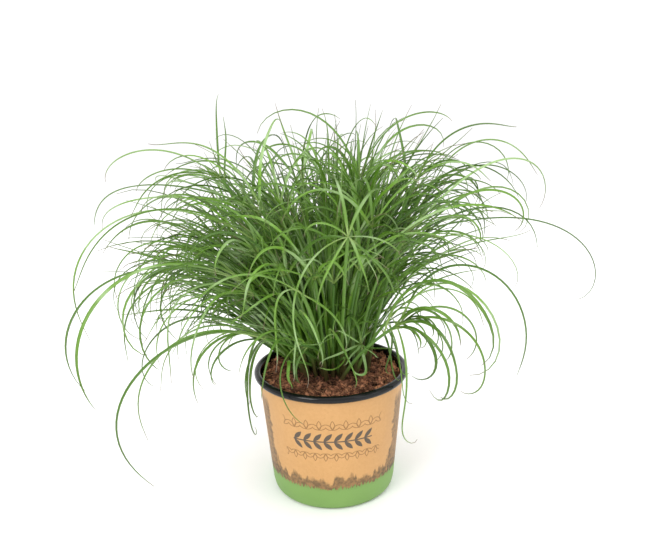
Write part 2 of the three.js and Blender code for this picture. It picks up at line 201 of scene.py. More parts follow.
def skin(name, rings, marks=None, sharp=None):
    """Makes one object from closed tubes.

    rings is an array (tubes, rows, columns, 3) in millimetres. marks are named values for the
    points, each of a shape that spreads over (tubes, rows, columns). Faces point outwards: they are
    turned round when the volume that they close is negative. Edges sharper than the angle sharp,
    in degrees, stay sharp in the shading.
    """
    tubes, rows, columns = rings.shape[:3]
    index = np.arange(tubes * rows * columns).reshape(tubes, rows, columns)
    beside = np.roll(index, -1, axis=2)
    quads = np.stack([index[:, :-1], beside[:, :-1], beside[:, 1:], index[:, 1:]], axis=-1)
    quads = quads.reshape(-1, 4)
    caps = np.concatenate([index[:, 0, ::-1], index[:, -1]])
    points = rings.reshape(-1, 3) * MM
    if signed_volume(points, quads) + signed_volume(points, caps) < 0:
        quads = quads[:, ::-1]
        caps = caps[:, ::-1]
    mesh = bpy.data.meshes.new(name)
    mesh.from_pydata(points, [], quads.tolist() + caps.tolist())
    for mark, values in (marks or {}).items():
        spread = np.broadcast_to(values, rings.shape[:3]).astype(np.float32)
        mesh.attributes.new(mark, "FLOAT", "POINT").data.foreach_set("value", spread.ravel())
    mesh.polygons.foreach_set("use_smooth", np.ones(len(mesh.polygons), bool))
    if sharp:
        mesh.set_sharp_from_angle(angle=math.radians(sharp))
    return link(bpy.data.objects.new(name, mesh))


def settle(piece, slot, finish, *cad_nodes):
    """Lets a piece ride on the one body, and says its finish and the solids that it stands for."""
    piece.data.materials.append(finish)
    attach(piece, "root")
    if cad_nodes:
        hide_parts(*cad_nodes)
    print(piece.name, len(piece.data.polygons), "faces")


# %% [markdown]
# ## Shader maths
#
# A pattern such as a printed leaf or a vein is a formula. Written with nodes, a formula takes many
# lines, so one small class wraps a socket and gives it Python's operators: an expression such as
# 1 - mask then adds its own Math node. A second class holds a material and adds every other node.


# %% Shader maths
def operator(operation, swapped=False):
    """A method of Signal that adds the Math node for one of Python's operators."""

    def apply(signal, *others):
        values = (signal, *others)
        return signal.finish.maths(operation, *(values[::-1] if swapped else values))

    return apply


class Signal:
    """A value in a material. The operators add Math nodes that work on it."""

    def __init__(self, finish, socket):
        self.finish = finish
        self.socket = socket

    __add__ = __radd__ = operator("ADD")
    __mul__ = __rmul__ = operator("MULTIPLY")
    __sub__ = operator("SUBTRACT")
    __rsub__ = operator("SUBTRACT", swapped=True)
    __truediv__ = operator("DIVIDE")
    __rtruediv__ = operator("DIVIDE", swapped=True)
    __lt__ = operator("LESS_THAN")
    __gt__ = operator("GREATER_THAN")
    __abs__ = operator("ABSOLUTE")


class Finish:
    """A material with one Principled shader, and the methods that add its nodes."""

    def __init__(self, name, **constants):
        self.material = bpy.data.materials.new(name)
        self.material.use_nodes = True
        self.tree = self.material.node_tree
        self.shader = self.tree.nodes["Principled BSDF"]
        for socket, value in constants.items():
            self.feed(self.shader.inputs[socket.replace("_", " ")], value)

    def feed(self, socket, value):
        if isinstance(value, Signal):
            self.tree.links.new(value.socket, socket)
        else:
            socket.default_value = value

    def node(self, kind, settings=None, inputs=None, output=0):
        """Adds a node of any kind: its settings first, then its sockets, and gives one output."""
        made = self.tree.nodes.new(kind)
        for setting, value in (settings or {}).items():
            setattr(made, setting, value)
        for socket, value in (inputs or {}).items():
            self.feed(made.inputs[socket], value)
        return Signal(self, made.outputs[output])

    def maths(self, operation, *values):
        settings = {"operation": operation}
        return self.node("ShaderNodeMath", settings, dict(enumerate(values)))

    def mix(self, factor, first, second):
        """A colour between two: the Mix node's colours are its sockets 6 and 7 and its output 2."""
        settings = {"data_type": "RGBA"}
        return self.node("ShaderNodeMix", settings, {0: factor, 6: first, 7: second}, 2)

    def cover(self, ground, *layers):
        """Lays colours over a ground, one after the other, each as thick as its mask says."""
        for mask, colour in layers:
            ground = self.mix(mask, ground, colour)
        return ground

    def step(self, value, low, high):
        """Goes smoothly from 0 at low to 1 at high, and from 1 to 0 where low is above high."""
        inputs = {"Value": value, "From Min": low, "From Max": high}
        return self.node("ShaderNodeMapRange", {"interpolation_type": "SMOOTHSTEP"}, inputs)

    def mark(self, name):
        """A value that the mesh carries at its points."""
        return self.node("ShaderNodeAttribute", {"attribute_name": name}, output="Fac")

    def place(self):
        return self.node("ShaderNodeTexCoord", output="Object")

    def noise(self, scale, detail=2):
        """Soft noise from 0 to 1 with so many lumps in a metre."""
        inputs = {"Vector": self.place(), "Scale": scale, "Detail": detail}
        return self.node("ShaderNodeTexNoise", inputs=inputs)

    def noise_along(self, value, scale, detail):
        """Noise that changes along one value only."""
        inputs = {"W": value, "Scale": scale, "Detail": detail}
        return self.node("ShaderNodeTexNoise", {"noise_dimensions": "1D"}, inputs)

    def complete(self, colour, rough, height, depth):
        """Feeds the shader, with bumps as high as the height times the depth, in metres."""
        bumps = self.node("ShaderNodeBump", inputs={"Strength": 1, "Distance": depth, "Height": height})
        for socket, value in {"Base Color": colour, "Roughness": rough, "Normal": bumps}.items():
            self.feed(self.shader.inputs[socket], value)
        return self.material


def paint(red, green, blue):
    """A colour as a screen shows it, from 0 to 255, made linear by the sRGB formula."""
    seen = np.array([red, green, blue]) / 255
    linear = np.where(seen < 0.04, seen / 12.92, ((seen + 0.055) / 1.055) ** 2.4)
    return (*linear.tolist(), 1)


print("example of a paint:", [round(v, 3) for v in paint(98, 145, 58)])

# %% [markdown]
# ## Floor
#
# The floor is only there to carry the pot, so it is a wide white disc that melts into the white
# world. It is thick paper in look: dull, without a pattern that the eye would follow.

# %% Floor
FLOOR_RADIUS = 4000
FLOOR_THICKNESS = 10
FLOOR_COLUMNS = 96


def turned_rings(profile, columns):
    """Carries a profile of radii and heights round the axis, one ring for each of its points."""
    return np.stack([polar(radius, evenly(columns), height) for radius, height in profile])


def make_floor():
    """A wide flat disc, which is stage and no part of the plant."""
    profile = [(FLOOR_RADIUS, -FLOOR_THICKNESS), (FLOOR_RADIUS, 0)]
    floor = skin("floor", turned_rings(profile, FLOOR_COLUMNS)[None], sharp=30)
    finish = Finish("white_paper", Roughness=0.9)
    white = finish.mix(finish.noise(30), (0.92, 0.92, 0.92, 1), (0.95, 0.95, 0.95, 1))
    finish.feed(finish.shader.inputs["Base Color"], white)
    floor.data.materials.append(finish.material)


make_floor()
print("floor radius", FLOOR_RADIUS, "mm")

# %% [markdown]
# ## How the plant grows
#
# The leaves have to lie where the CAD's leaves lie, so the same rules are run again, with the same
# numbers. The shoots stand in the order of a sunflower's seeds. Seventeen of them are listed,
# because they draw the plant's outline, and chance draws the rest. A leaf starts with a heading and
# a rise, and its rise falls to the droop: rise - (rise + droop) * share ** bend.

# %% Sizes of the plant, in millimetres and degrees as in the CAD
POT_HEIGHT = 99
RIM_RADIUS = 60
SOIL_TOP = 90
SHOOT_COUNT = 28
CLUMP_RADIUS = 32
CLUMP_BACK = 10
GOLDEN_ANGLE = 137.508
STEM_RADIUS = 1.7
STEM_STEPS = 5
FOOT_LIFT = 1.2
FOOT_SHARE = 0.2
BEND_OF_FOOT = (0.7, 0.7, 0.45)
BEND_OF_WHORL = (0.3, 0.3, 0.55)
INNER_LEAN = 4
EDGE_LEAN = 18
LEAN_GROWTH = 1.4
FRONT_LEAN = -16
RIGHT_LEAN = -14
LEFT_LEAN = 8
SHORTEST_REACH = 45
LONGEST_REACH = 115
CUP_BELOW = 1.5
CUP_GAP = 0.3
LEAF_STEPS = 24
STATION_STEP = 5
LEAF_SPACE = 0.8
POT_SPACE = 3
FLOOR_SPACE = 5
TRIES = 40
EARLY_BEND = 1.5
LATE_BEND = 2.2
HOOK_BEND = 12
SWAY_WAVES = 1.6
FILLING = {"count": 11, "open": (4, 50), "length": (95, 155), "width": (1.6, 3.4)}
LEAST_DROOP = 5
MOST_DROOP = 105
LEFT_DROOP = 30
RIGHT_DROOP = -15
MOST_CURL = 40
ROUND_CHANCE = 15
FRONT_SHORTER = 0.35
BACK_SHORTER = 0.1
SEED = 83

# %% The shoots that draw the outline
# Each has its whorl's place, then for each leaf the heading, rise, length, droop at the tip,
# sideways curl and width, then how late it bends, where that isn't EARLY_BEND, and how far its
# very tip hooks up.
LEADING_SHOOTS = [
    [(13, -90, 222), (172, 45, 36, 75, -35, 3), (156, -12, 126, 131, 61, 2.6, 0.8, 23),
     (291, -3, 42, 74, 31, 2.8, 0.5), (356, -41, 52, 96, 11, 3.2, 2.5), (40, -5, 42, 45, -70, 2.8),
     (60, 50, 60, 20, 0, 3), (100, 60, 60, 10, 0, 3), (233, -32, 52, 75, -12, 2.2)],
    [(-17, -84, 184), (352, -27, 50, 90, -14, 3), (132, 36, 85, 130, -60, 2.6, 0.6, 37),
     (200, 40, 90, 80, 0, 2.6)],
    [(-75, -10, 250), (195, 40, 95, 55, -10, 2.4), (100, 60, 70, -50, -15, 2), (215, 20, 80, 70, 20, 2.4)],
    [(-45, -30, 230), (170, 20, 195, 60, -70, 2.8), (165, 10, 180, 40, -55, 2.4),
     (140, 55, 110, 30, 40, 2.4)],
    [(-50, -40, 210), (185, 35, 195, 135, 15, 2.6), (200, 40, 150, 90, 10, 2.8),
     (165, 50, 120, 80, 10, 2.4)],
    [(-60, -50, 185), (205, 30, 195, 150, 65, 3.8), (188, 22, 185, 120, -15, 3.6),
     (230, 40, 120, 90, 20, 3), (170, 45, 130, 100, 0, 2.4)],
    [(-45, -60, 145), (225, 30, 185, 150, -55, 3.6), (-60, -200, 116, 71, 0, 3, 0.4, 220),
     (210, 30, 140, 130, 0, 3), (190, 40, 120, 110, 10, 2.8)],
    [(-21, -57, 139), (167, -27, 71, 138, -12, 3, 0.8), (245, 40, 80, 100, 15, 2.6)],
    [(-58, 2, 160), (185, 30, 150, 125, 0, 3), (175, 45, 170, 140, 20, 2.8), (200, 15, 110, 110, -10, 2.6),
     (160, 40, 130, 110, 0, 2.6)],
    [(-35, 15, 222), (155, 55, 100, 40, 20, 3), (110, 68, 95, 30, 0, 3.4), (205, 50, 100, 70, 0, 3.2),
     (50, 72, 85, 40, 0, 3.4)],
    [(0, 0, 235), (160, 78, 90, 100, 15, 3.6), (110, 60, 80, 10, 30, 2.4), (250, 70, 60, 40, 0, 3)],
    [(25, 0, 245), (-10, 70, 90, 25, 0, 3), (90, 60, 70, 30, 0, 2.6), (180, 75, 60, 40, 20, 2.4)],
    [(65, -10, 245), (-20, 65, 85, 35, 10, 2.8), (340, 40, 60, 70, 0, 2.4)],
    [(80, 28, 228), (-20, 70, 110, 85, -10, 2.6), (10, 40, 100, 80, -10, 2.4)],
    [(45, -28, 147), (-48, -12, 110, 111, 44, 3, 0.3, 186), (0, 50, 90, 100, 0, 2.6)],
    [(55, -30, 210), (10, 42, 150, 135, 15, 3.6, 3), (-15, 38, 110, 140, 10, 4, 3),
     (-5, 12, 175, 115, 0, 1.8, 2.5)],
    [(50, -50, 150), (-45, 70, 170, 140, -5, 4.2), (-40, 30, 115, 160, -5, 3.6),
     (-20, 45, 85, 140, -10, 3)],
]
# How many values each leaf has at least, and where the width and the hook stand in a full row
FEWEST_VALUES = 6
WIDTH = 5
HOOK = 7
print(len(LEADING_SHOOTS), "leading shoots")


# %% Chance and directions
CHANCE_FACTOR = 16807
CHANCE_LIMIT = 2**31 - 1
UPRIGHT = 1e-3


class Draws:
    """Numbers from 0 to 1 that repeat: each is the last times CHANCE_FACTOR, modulo CHANCE_LIMIT."""

    def __init__(self, seed):
        self.number = seed

    def next(self):
        self.number = self.number * CHANCE_FACTOR % CHANCE_LIMIT
        return self.number / CHANCE_LIMIT

    def between(self, low, high):
        return low + (high - low) * self.next()


def slanted(axis, open_angle, round_angle):
    """The axis tilted by the open angle, towards a side that the round angle picks."""
    across = np.array([axis[1], -axis[0], 0])
    if np.linalg.norm(across) < UPRIGHT:
        across = np.array([1.0, 0, 0])
    across = unit(across)
    side = across * np.cos(round_angle) + np.cross(axis, across) * np.sin(round_angle)
    return axis * np.cos(open_angle) + side * np.sin(open_angle)


def tilted(heading, lean):
    """Straight up, leaned over by an angle towards a heading."""
    flat = math.sin(lean)
    return np.array([flat * math.cos(heading), flat * math.sin(heading), math.cos(lean)])


def facing(heading):
    """How far a heading points to the front, back, right and left, each from 0 to 1."""
    sine, cosine = np.sin(heading), np.cos(heading)
    return max(0, -sine), max(0, sine), max(0, cosine), max(0, -cosine)


# %% [markdown]
# ## Stems and whorls
#
# A stem is a Bezier curve with one bend point: it leaves the soil steeply and leans out to its
# whorl. The leading shoots take the free feet that are nearest to them, and the others keep theirs
# and lean out by how far from the middle they stand, less to the front and right than to the left.


# %% Stems and whorls
def sunflower(count, radius, ahead=0):
    """Places in a disc: golden angle times the number, radius times the root of its share."""
    number = np.arange(count)
    turn = np.radians(GOLDEN_ANGLE * (number + ahead))
    reach = radius * np.sqrt((number + 0.5) / count)
    return polar(reach, turn, SOIL_TOP) + [0, CLUMP_BACK, 0]


def take_foot(feet, whorl):
    """Takes the free foot that is nearest to a point a little way from the middle to the whorl."""
    wish = np.array([0, CLUMP_BACK, 0]) * (1 - FOOT_SHARE) + whorl * FOOT_SHARE
    wish[2] = SOIL_TOP
    gaps = [np.linalg.norm(foot - wish) for foot in feet]
    return feet.pop(int(np.argmin(gaps)))


def stem_controls(foot, whorl):
    """The start, bend point and top of a stem, and the direction in which it ends."""
    bend = foot * BEND_OF_FOOT + whorl * BEND_OF_WHORL
    axis = unit(whorl - bend)
    return (foot + [0, 0, FOOT_LIFT], bend, whorl - axis * (CUP_BELOW + CUP_GAP)), axis


def bezier(controls, steps):
    """(1 - t)^2 times the start, 2 t (1 - t) times the bend point, and t^2 times the end."""
    start, bend, end = controls
    t = np.linspace(0, 1, steps + 1)[:, None]
    return (1 - t) ** 2 * start + 2 * t * (1 - t) * bend + t**2 * end


def stand(foot, radius):
    """A foot's heading from the clump's middle, its share of the radius, and where that faces."""
    aside = foot - [0, CLUMP_BACK, 0]
    heading = math.atan2(aside[1], aside[0])
    return heading, from_axis(aside) / radius, facing(heading)


def filling_whorl(foot, draws):
    """The reach from the foot, tilted outwards by a lean that grows towards the clump's edge."""
    heading, share, (front, _, right, left) = stand(foot, CLUMP_RADIUS)
    edge = EDGE_LEAN + FRONT_LEAN * front + RIGHT_LEAN * right + LEFT_LEAN * left
    lean = math.radians(INNER_LEAN + edge * share**LEAN_GROWTH)
    return foot + draws.between(SHORTEST_REACH, LONGEST_REACH) * tilted(heading, lean)


# %% [markdown]
# ## The course of a leaf
#
# All leaves are worked out at once: a row of values for each leaf, and a row of steps along it. The
# direction of each step comes from the rise and heading there, and adding the steps up gives the
# course. Fine leaves also sway a little to the sides, as real ones do.


# %% The course of a leaf
def courses(starts, values, steps, swing=0, begin=0):
    """Points and headings along leaves, as arrays (leaves, steps + 1, 3) and (leaves, steps + 1).

    At a share s of the length, rise = rise - (rise + droop) * s^bend + hook * s^HOOK_BEND, and
    heading = heading + curl * s^2 + swing * s * sin(2 pi (begin + SWAY_WAVES * s)).
    """
    heading, rise, length, droop, curl, _, bend, hook = values.T[:, :, None]
    share = ((np.arange(steps) + 0.5) / steps)[None]
    rise = np.radians(rise - (rise + droop) * share**bend + hook * share**HOOK_BEND)
    wave = swing * share * np.sin(2 * np.pi * (begin + SWAY_WAVES * share))
    heading = np.radians(heading + curl * share**2 + wave)
    moved = np.cumsum(polar(np.cos(rise), heading, np.sin(rise)), axis=1) * (length / steps)[:, :, None]
    points = np.concatenate([starts[:, None], starts[:, None] + moved], axis=1)
    return points, np.concatenate([heading[:, :1], heading], axis=1)


def drawn_leaf(axis, place, kind, draws):
    """A row of values for a leaf that leaves its whorl near the stem's direction and bends late."""
    round_angle = math.radians(GOLDEN_ANGLE * place + draws.between(-ROUND_CHANCE, ROUND_CHANCE))
    outward = math.sqrt((place + draws.next()) / kind["count"])
    closed, opened = kind["open"]
    open_angle = math.radians(closed + (opened - closed) * outward)
    way = slanted(axis, open_angle, round_angle)
    heading = math.atan2(way[1], way[0])
    front, back, right, left = facing(heading)
    length = draws.between(*kind["length"]) * (1 - FRONT_SHORTER * front - BACK_SHORTER * back)
    droop = draws.between(LEAST_DROOP, MOST_DROOP) + LEFT_DROOP * left + RIGHT_DROOP * right
    curl = draws.between(-MOST_CURL, MOST_CURL)
    rise = math.degrees(math.asin(np.clip(way[2], -1, 1)))
    width = draws.between(*kind["width"])
    return [math.degrees(heading), rise, length, droop, curl, width, LATE_BEND, 0]


def stations(start, value):
    """The few points of a leaf that the solids have: its start, four stations and its tip."""
    course = courses(np.array([start]), np.array([value]), LEAF_STEPS)[0][0]
    return course[[0, *range(STATION_STEP, LEAF_STEPS, STATION_STEP), LEAF_STEPS]]


# %% [markdown]
# ## Room for each leaf
#
# In the CAD no leaf may touch another, the pot or the floor. So a leaf that chance draws is only
# kept when the straight stretches between its stations are far enough from all that is there. The
# distance between two stretches is found by the nearest pair of points on their two lines, moved
# back onto the stretches where they lie outside.


# %% Room for each leaf
NEARLY_PARALLEL = 1e-9
CHECKED_SHARES = np.array([1 / 3, 2 / 3, 1])[:, None]


def stretch_gaps(a0, a1, b0, b1):
    """The shortest distances between the stretch a0-a1 and the many stretches b0-b1.

    The nearest points lie at the share t of the one stretch and at the shares s of the others.
    """
    u, v, w = b1 - b0, a1 - a0, b0 - a0
    uu, vv = (u * u).sum(axis=1), v @ v
    uv, uw, vw = u @ v, (u * w).sum(axis=1), w @ v
    parallel = uu * vv - uv * uv
    slanting = parallel > NEARLY_PARALLEL
    s = np.clip((uv * vw - vv * uw) / np.where(slanting, parallel, 1), 0, 1) * slanting
    t = np.clip((uv * s + vw) / vv, 0, 1)
    s = np.clip((uv * t - uw) / uu, 0, 1)
    return np.linalg.norm(w + u * s[:, None] - v * t[:, None], axis=1)


def off_pot_and_floor(points):
    """Whether points keep their distance from the floor, and from the pot and the air in it."""
    low = points[..., 2] < FLOOR_SPACE
    beside_pot = points[..., 2] < POT_HEIGHT + POT_SPACE
    over_pot = from_axis(points) < RIM_RADIUS + POT_SPACE
    return not np.any(low | (beside_pot & over_pot))


class Placed:
    """The stretches of all that stands already: ends, radius, shoot, and whether it is a root."""

    def __init__(self):
        self.rows = []

    def add(self, points, radius, shoot, rooted):
        for i in range(len(points) - 1):
            self.rows.append((*points[i], *points[i + 1], radius, shoot, rooted and i == 0))
        self.table = np.array(self.rows)

    def clear(self, points, radius, shoot):
        radii, shoots, roots = self.table[:, 6:].T
        for i in range(len(points) - 1):
            if not off_pot_and_floor(points[i] + (points[i + 1] - points[i]) * CHECKED_SHARES):
                return False
            near = (shoots != shoot) | ((roots == 0) & (i > 0))
            others = self.table[near]
            gaps = stretch_gaps(points[i], points[i + 1], others[:, :3], others[:, 3:6])
            if np.any(gaps < radii[near] + radius + LEAF_SPACE):
                return False
        return True


# %% Grow the main shoots
def full_row(leaf):
    """Adds the bend and the hook of most leaves where a row is without them."""
    return (*leaf, *(EARLY_BEND, 0)[len(leaf) - FEWEST_VALUES :])


def standing_shoots(draws):
    feet = list(sunflower(SHOOT_COUNT, CLUMP_RADIUS))
    shoots = []
    for whorl, *leaves in LEADING_SHOOTS:
        whorl = np.array(whorl, float)
        values = [full_row(leaf) for leaf in leaves]
        shoots.append({"foot": take_foot(feet, whorl), "whorl": whorl, "leaves": values, "drawn": 0})
    for foot in feet:
        whorl = filling_whorl(foot, draws)
        shoots.append({"foot": foot, "whorl": whorl, "leaves": [], "drawn": FILLING["count"]})
    for shoot in shoots:
        shoot["controls"], shoot["axis"] = stem_controls(shoot["foot"], shoot["whorl"])
    return shoots


def grow():
    """Stems first, then the leading leaves, and then the leaves that chance draws."""
    draws = Draws(SEED)
    shoots = standing_shoots(draws)
    placed = Placed()
    for number, shoot in enumerate(shoots):
        placed.add(bezier(shoot["controls"], STEM_STEPS), STEM_RADIUS, number, False)
    for number, shoot in enumerate(shoots):
        for leaf in shoot["leaves"]:
            placed.add(stations(shoot["whorl"], leaf), leaf[WIDTH] / 2, number, True)
    for number, shoot in enumerate(shoots):
        for place in range(shoot["drawn"]):
            for _ in range(TRIES):
                leaf = drawn_leaf(shoot["axis"], place, FILLING, draws)
                points = stations(shoot["whorl"], leaf)
                if placed.clear(points, leaf[WIDTH] / 2, number):
                    shoot["leaves"].append(leaf)
                    placed.add(points, leaf[WIDTH] / 2, number, True)
                    break
    return shoots, placed


shoots, placed = grow()
print(len(shoots), "shoots with", sum(len(shoot["leaves"]) for shoot in shoots), "leaves")


# %% Measure how well the leaves meet the solids
def measured(items, field):
    """One vector for each vertex or face of a mesh."""
    values = np.empty(len(items) * 3)
    items.foreach_get(field, values)
    return values.reshape(-1, 3)


def furthest_tip():
    """The largest distance from a leaf's tip to the nearest point of its whorl's CAD solid."""
    largest = 0
    for number, shoot in enumerate(shoots, 1):
        solid = measured(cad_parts[f"leaves_{number:02d}"].data.vertices, "co") / MM
        for leaf in shoot["leaves"]:
            gaps = np.linalg.norm(solid - stations(shoot["whorl"], leaf)[-1], axis=1)
            largest = max(largest, gaps.min())
    return largest


print("furthest tip from its solid:", round(furthest_tip(), 3), "mm")

# %% [markdown]
# ## Leaf blades
#
# A sedge leaf is a long narrow channel: its two halves rise from a keel that runs under the middle,
# and it thins out to a hair. It could be a flat strip, but then it would vanish edge on and have no
# light side and dark side. So each blade is a closed tube that twists a little on its way. A main
# leaf has eight points round its section, five along the channel on top and three under it. There
# are hundreds of fine leaves, so they have only four points and fewer rows.

# %% Leaf blades
MAIN_BLADE = {
    "rows": 36,
    "beside": np.array([-1, -0.5, 0, 0.5, 1, 0.5, 0, -0.5]),
    "on_top": np.array([1, 1, 1, 1, 1, 0, 0, 0]),
    "width": 0.66,
    "swing": (2, 9),
    "tip": (-60, 50),
}
FINE_BLADE = {
    "rows": 20,
    "beside": np.array([-1, 0, 1, 0]),
    "on_top": np.array([1, 1, 1, 0]),
    "width": 1.0,
    "swing": (4, 14),
    "tip": (-60, 35),
}
HAIR_WIDTH = 0.24
BLADE_THICKNESS = 0.2
KEEL_SHARE = 0.16
LEAF_START = 0.35
MOST_TWIST = 110
TWIST_BEND = 1.5
FOLD = (0.25, 0.7)


def blade_rings(starts, values, blade, random):
    """Rings of points along each leaf.

    At a share s of the length the width is width * min(1, LEAF_START + 3 s) * (1 - s^3), and
    never under a hair's. A point stands up by the leaf's fold times its distance from the middle,
    and the points underneath hang down by the thickness, the middle one by the keel as well.
    """
    count = len(values)
    beside, on_top = blade["beside"], blade["on_top"]
    values = values.astype(float)
    values[:, HOOK] += random.uniform(*blade["tip"], count)
    swing = random.uniform(*blade["swing"], count)[:, None]
    points, headings = courses(starts, values, blade["rows"], swing, random.random(count)[:, None])
    way = unit(np.gradient(points, axis=1))
    side = sideways(headings)
    up = np.cross(way, side)
    share = np.linspace(0, 1, blade["rows"] + 1)[None, :, None]
    twist = np.radians(random.uniform(-MOST_TWIST, MOST_TWIST, count))[:, None, None] * share**TWIST_BEND
    side, up = side * np.cos(twist) + up * np.sin(twist), up * np.cos(twist) - side * np.sin(twist)
    width = values[:, WIDTH][:, None, None] * blade["width"]
    half = width * np.minimum(1, LEAF_START + 3 * share) * (1 - share**3) / 2 + HAIR_WIDTH / 2
    fold = random.uniform(*FOLD, count)[:, None, None]
    under = (1 - on_top) * (BLADE_THICKNESS + half * 2 * KEEL_SHARE * (beside == 0))
    height = fold * half * (np.abs(beside) - 0.5) - under
    return around(points, side, up, half * beside, height)


def blades(name, starts, values, blade, seed):
    """One object with all the given leaves, and with what the finish needs to know about them."""
    random = np.random.default_rng(seed)
    rings = blade_rings(np.array(starts), np.array(values), blade, random)
    marks = {
        "along": np.linspace(0, 1, blade["rows"] + 1)[None, :, None],
        "across": blade["beside"][None, None],
        "tone": random.random(len(values))[:, None, None],
    }
    return skin(name, rings, marks, sharp=60)


# %% [markdown]
# ## Leaf finish
#
# A living leaf isn't one green. It is pale where it leaves the stem and brown where it leaves the
# soil, a brown that is painted darker as shade, fresh green along its length and dry at the tip. The
# keel is painted lighter as a highlight, here and there a whitish sheen is painted on in patches,
# and fine veins run along it. No two leaves have quite the same green. The mesh carries how far
# along and across a point lies and a tone for each leaf, so the pattern follows every bend.


# %% Leaf finish
VEIN_WAVES = 26
VEIN_DEPTH = 0.00004


def leaf_finish(name, dark, light, foot):
    """From a dark to a light green by tone, with the colour of the foot at the start of the leaf."""
    finish = Finish(name, Specular_IOR_Level=0.4, Coat_Weight=0.25, Coat_Roughness=0.2)
    along, across, tone = finish.mark("along"), finish.mark("across"), finish.mark("tone")
    mottle = finish.noise(60, 3)
    # The middle of the blade, the keel, painted lighter as a highlight.
    keel_highlight = finish.step(abs(across), 0.3, 0.05) * 0.3
    # Whitish patches painted on here and there, as a sheen on the leaves.
    painted_sheen = finish.step(finish.noise(28, 1) + tone * 0.4, 0.79, 0.95) * 0.45
    # At the start comes the foot colour. For the foot leaves it is a brown sheath, painted darker as
    # shade.
    start = finish.step(along + mottle * 0.1, 0.24, 0.1) * 0.9
    dull = finish.step(along, 0.5, 1.0) * 0.25
    dry = finish.step(along + mottle * 0.06 + tone * 0.08, 0.99, 1.08)
    green = finish.cover(
        finish.mix(tone * 0.75 + mottle * 0.35, dark, light),
        (keel_highlight, paint(150, 184, 102)),
        (painted_sheen, paint(190, 214, 168)),
        (start, foot),
        (dull, paint(104, 124, 62)),
        (dry, paint(128, 112, 92)),
    )
    veins = finish.maths("SINE", across * VEIN_WAVES)
    return finish.complete(green, 0.26 + mottle * 0.16, veins, VEIN_DEPTH)


LEAF = leaf_finish("leaf_green", paint(40, 80, 6), paint(120, 166, 54), paint(142, 170, 90))
YOUNG_LEAF = leaf_finish("young_leaf_green", paint(38, 78, 5), paint(124, 174, 52), paint(124, 150, 70))
# The foot leaves' brown feet are old sheaths, and their brown is painted darker as shade among the stems.
FOOT_LEAF = leaf_finish("foot_leaf_green", paint(36, 74, 5), paint(118, 166, 48), paint(58, 46, 26))
print("leaf finishes made")

# %% [markdown]
# ## Whorls
#
# Each whorl stands for one CAD solid: its main leaves lie where the solid's leaves lie. A real whorl
# has two or three times as many leaves as a plain solid can carry, so thin companions are added: a
# companion has the values of a main leaf, each changed a little, and is drawn again until it stays
# inside the CAD model's box and off the pot. The plant is thinner on its left, so the shoots there
# get fewer of them, and the two whorls that hang out in front get none.

# %% Whorls
COMPANIONS_ON_LEFT = 2
COMPANIONS_ON_RIGHT = 4
COMPANIONS_OF_DRAWN = 2
FRONT_WHORL = -70
TUFT_ROWS = 60
TUFT_SHARE = 0.2
BOX_SPACE = 6
STEEPEST = 86
BESIDE = {
    "heading": (-20, 20), "rise": (-16, 22), "length": (0.4, 1),
    "droop": (-35, 35), "curl": (-34, 34), "width": (0.4, 0.84),
}
WHORL_SEED = 12
THIN_SEED = 100


def inside_box(points):
    """Whether points keep inside the CAD model's box on every side but below."""
    low, high = CAD_LOW[:, None] + BOX_SPACE, CAD_HIGH[:, None] - BOX_SPACE
    flat = points.reshape(-1, 3).T
    return np.all(flat[:2] > low[:2]) and np.all(flat < high)


def companion(start, leaf, draws):
    """A thinner leaf that grows beside a main one, or nothing where there is no room.

    Chance adds to the angles of the main leaf, and multiplies its length and width.
    """
    heading, rise, length, droop, curl, width, *late = leaf
    for _ in range(TRIES):
        turn, lift, shorter, hang, bow, thinner = (draws.between(*limits) for limits in BESIDE.values())
        course = [heading + turn, min(STEEPEST, rise + lift), length * shorter, droop + hang, curl + bow]
        beside = [*course, width * thinner, *late]
        points = stations(start, beside)
        if inside_box(points) and off_pot_and_floor(points):
            return beside
    return None


def companions(shoot, draws):
    """Starts and values of the companions, which grow from the top fifth of the stem."""
    times = COMPANIONS_ON_LEFT if shoot["whorl"][0] < 0 else COMPANIONS_ON_RIGHT
    if shoot["drawn"]:
        times = COMPANIONS_OF_DRAWN
    top = bezier(shoot["controls"], TUFT_ROWS)
    starts, values = [], []
    for leaf in shoot["leaves"] * times:
        start = top[-1 - int(draws.between(0, TUFT_ROWS * TUFT_SHARE))]
        beside = companion(start, leaf, draws)
        if beside:
            starts.append(start)
            values.append(beside)
    return starts, values


def make_whorls():
    draws = Draws(WHORL_SEED)
    for number, shoot in enumerate(shoots, 1):
        start, leaves, solid = shoot["whorl"], shoot["leaves"], f"leaves_{number:02d}"
        main = blades(f"whorl_{number:02d}", [start] * len(leaves), leaves, MAIN_BLADE, number)
        settle(main, "leaf", LEAF, solid)
        if start[1] > FRONT_WHORL:
            thin = blades(f"thin_{solid}", *companions(shoot, draws), FINE_BLADE, THIN_SEED + number)
            settle(thin, "leaf", LEAF, solid)


make_whorls()

# %% [markdown]
# ## Stems
#
# A sedge stem is three-sided with soft corners, and near the soil it is wrapped in a brownish
# sheath, painted a darker brown there as shade. A round tube would lose the highlight that runs
# down each flat side. So the section is radius * (1 + corner * cos(3 angle)), carried along the
# stem's curve, and the radius swells where the sheath is. Young stems are made the same way and are
# thinner.

# %% Stems
STEM_ROWS = 18
STEM_COLUMNS = 12
CORNER = 0.12
MAIN_STEM_RADIUS = 1.25
SHEATH_SWELL = 0.35
SHEATH_SHARE = 0.16
STEM_TAPER = 0.15
NEVER_ALONG = (0, 1, 0.2)
STEM_SEED = 5


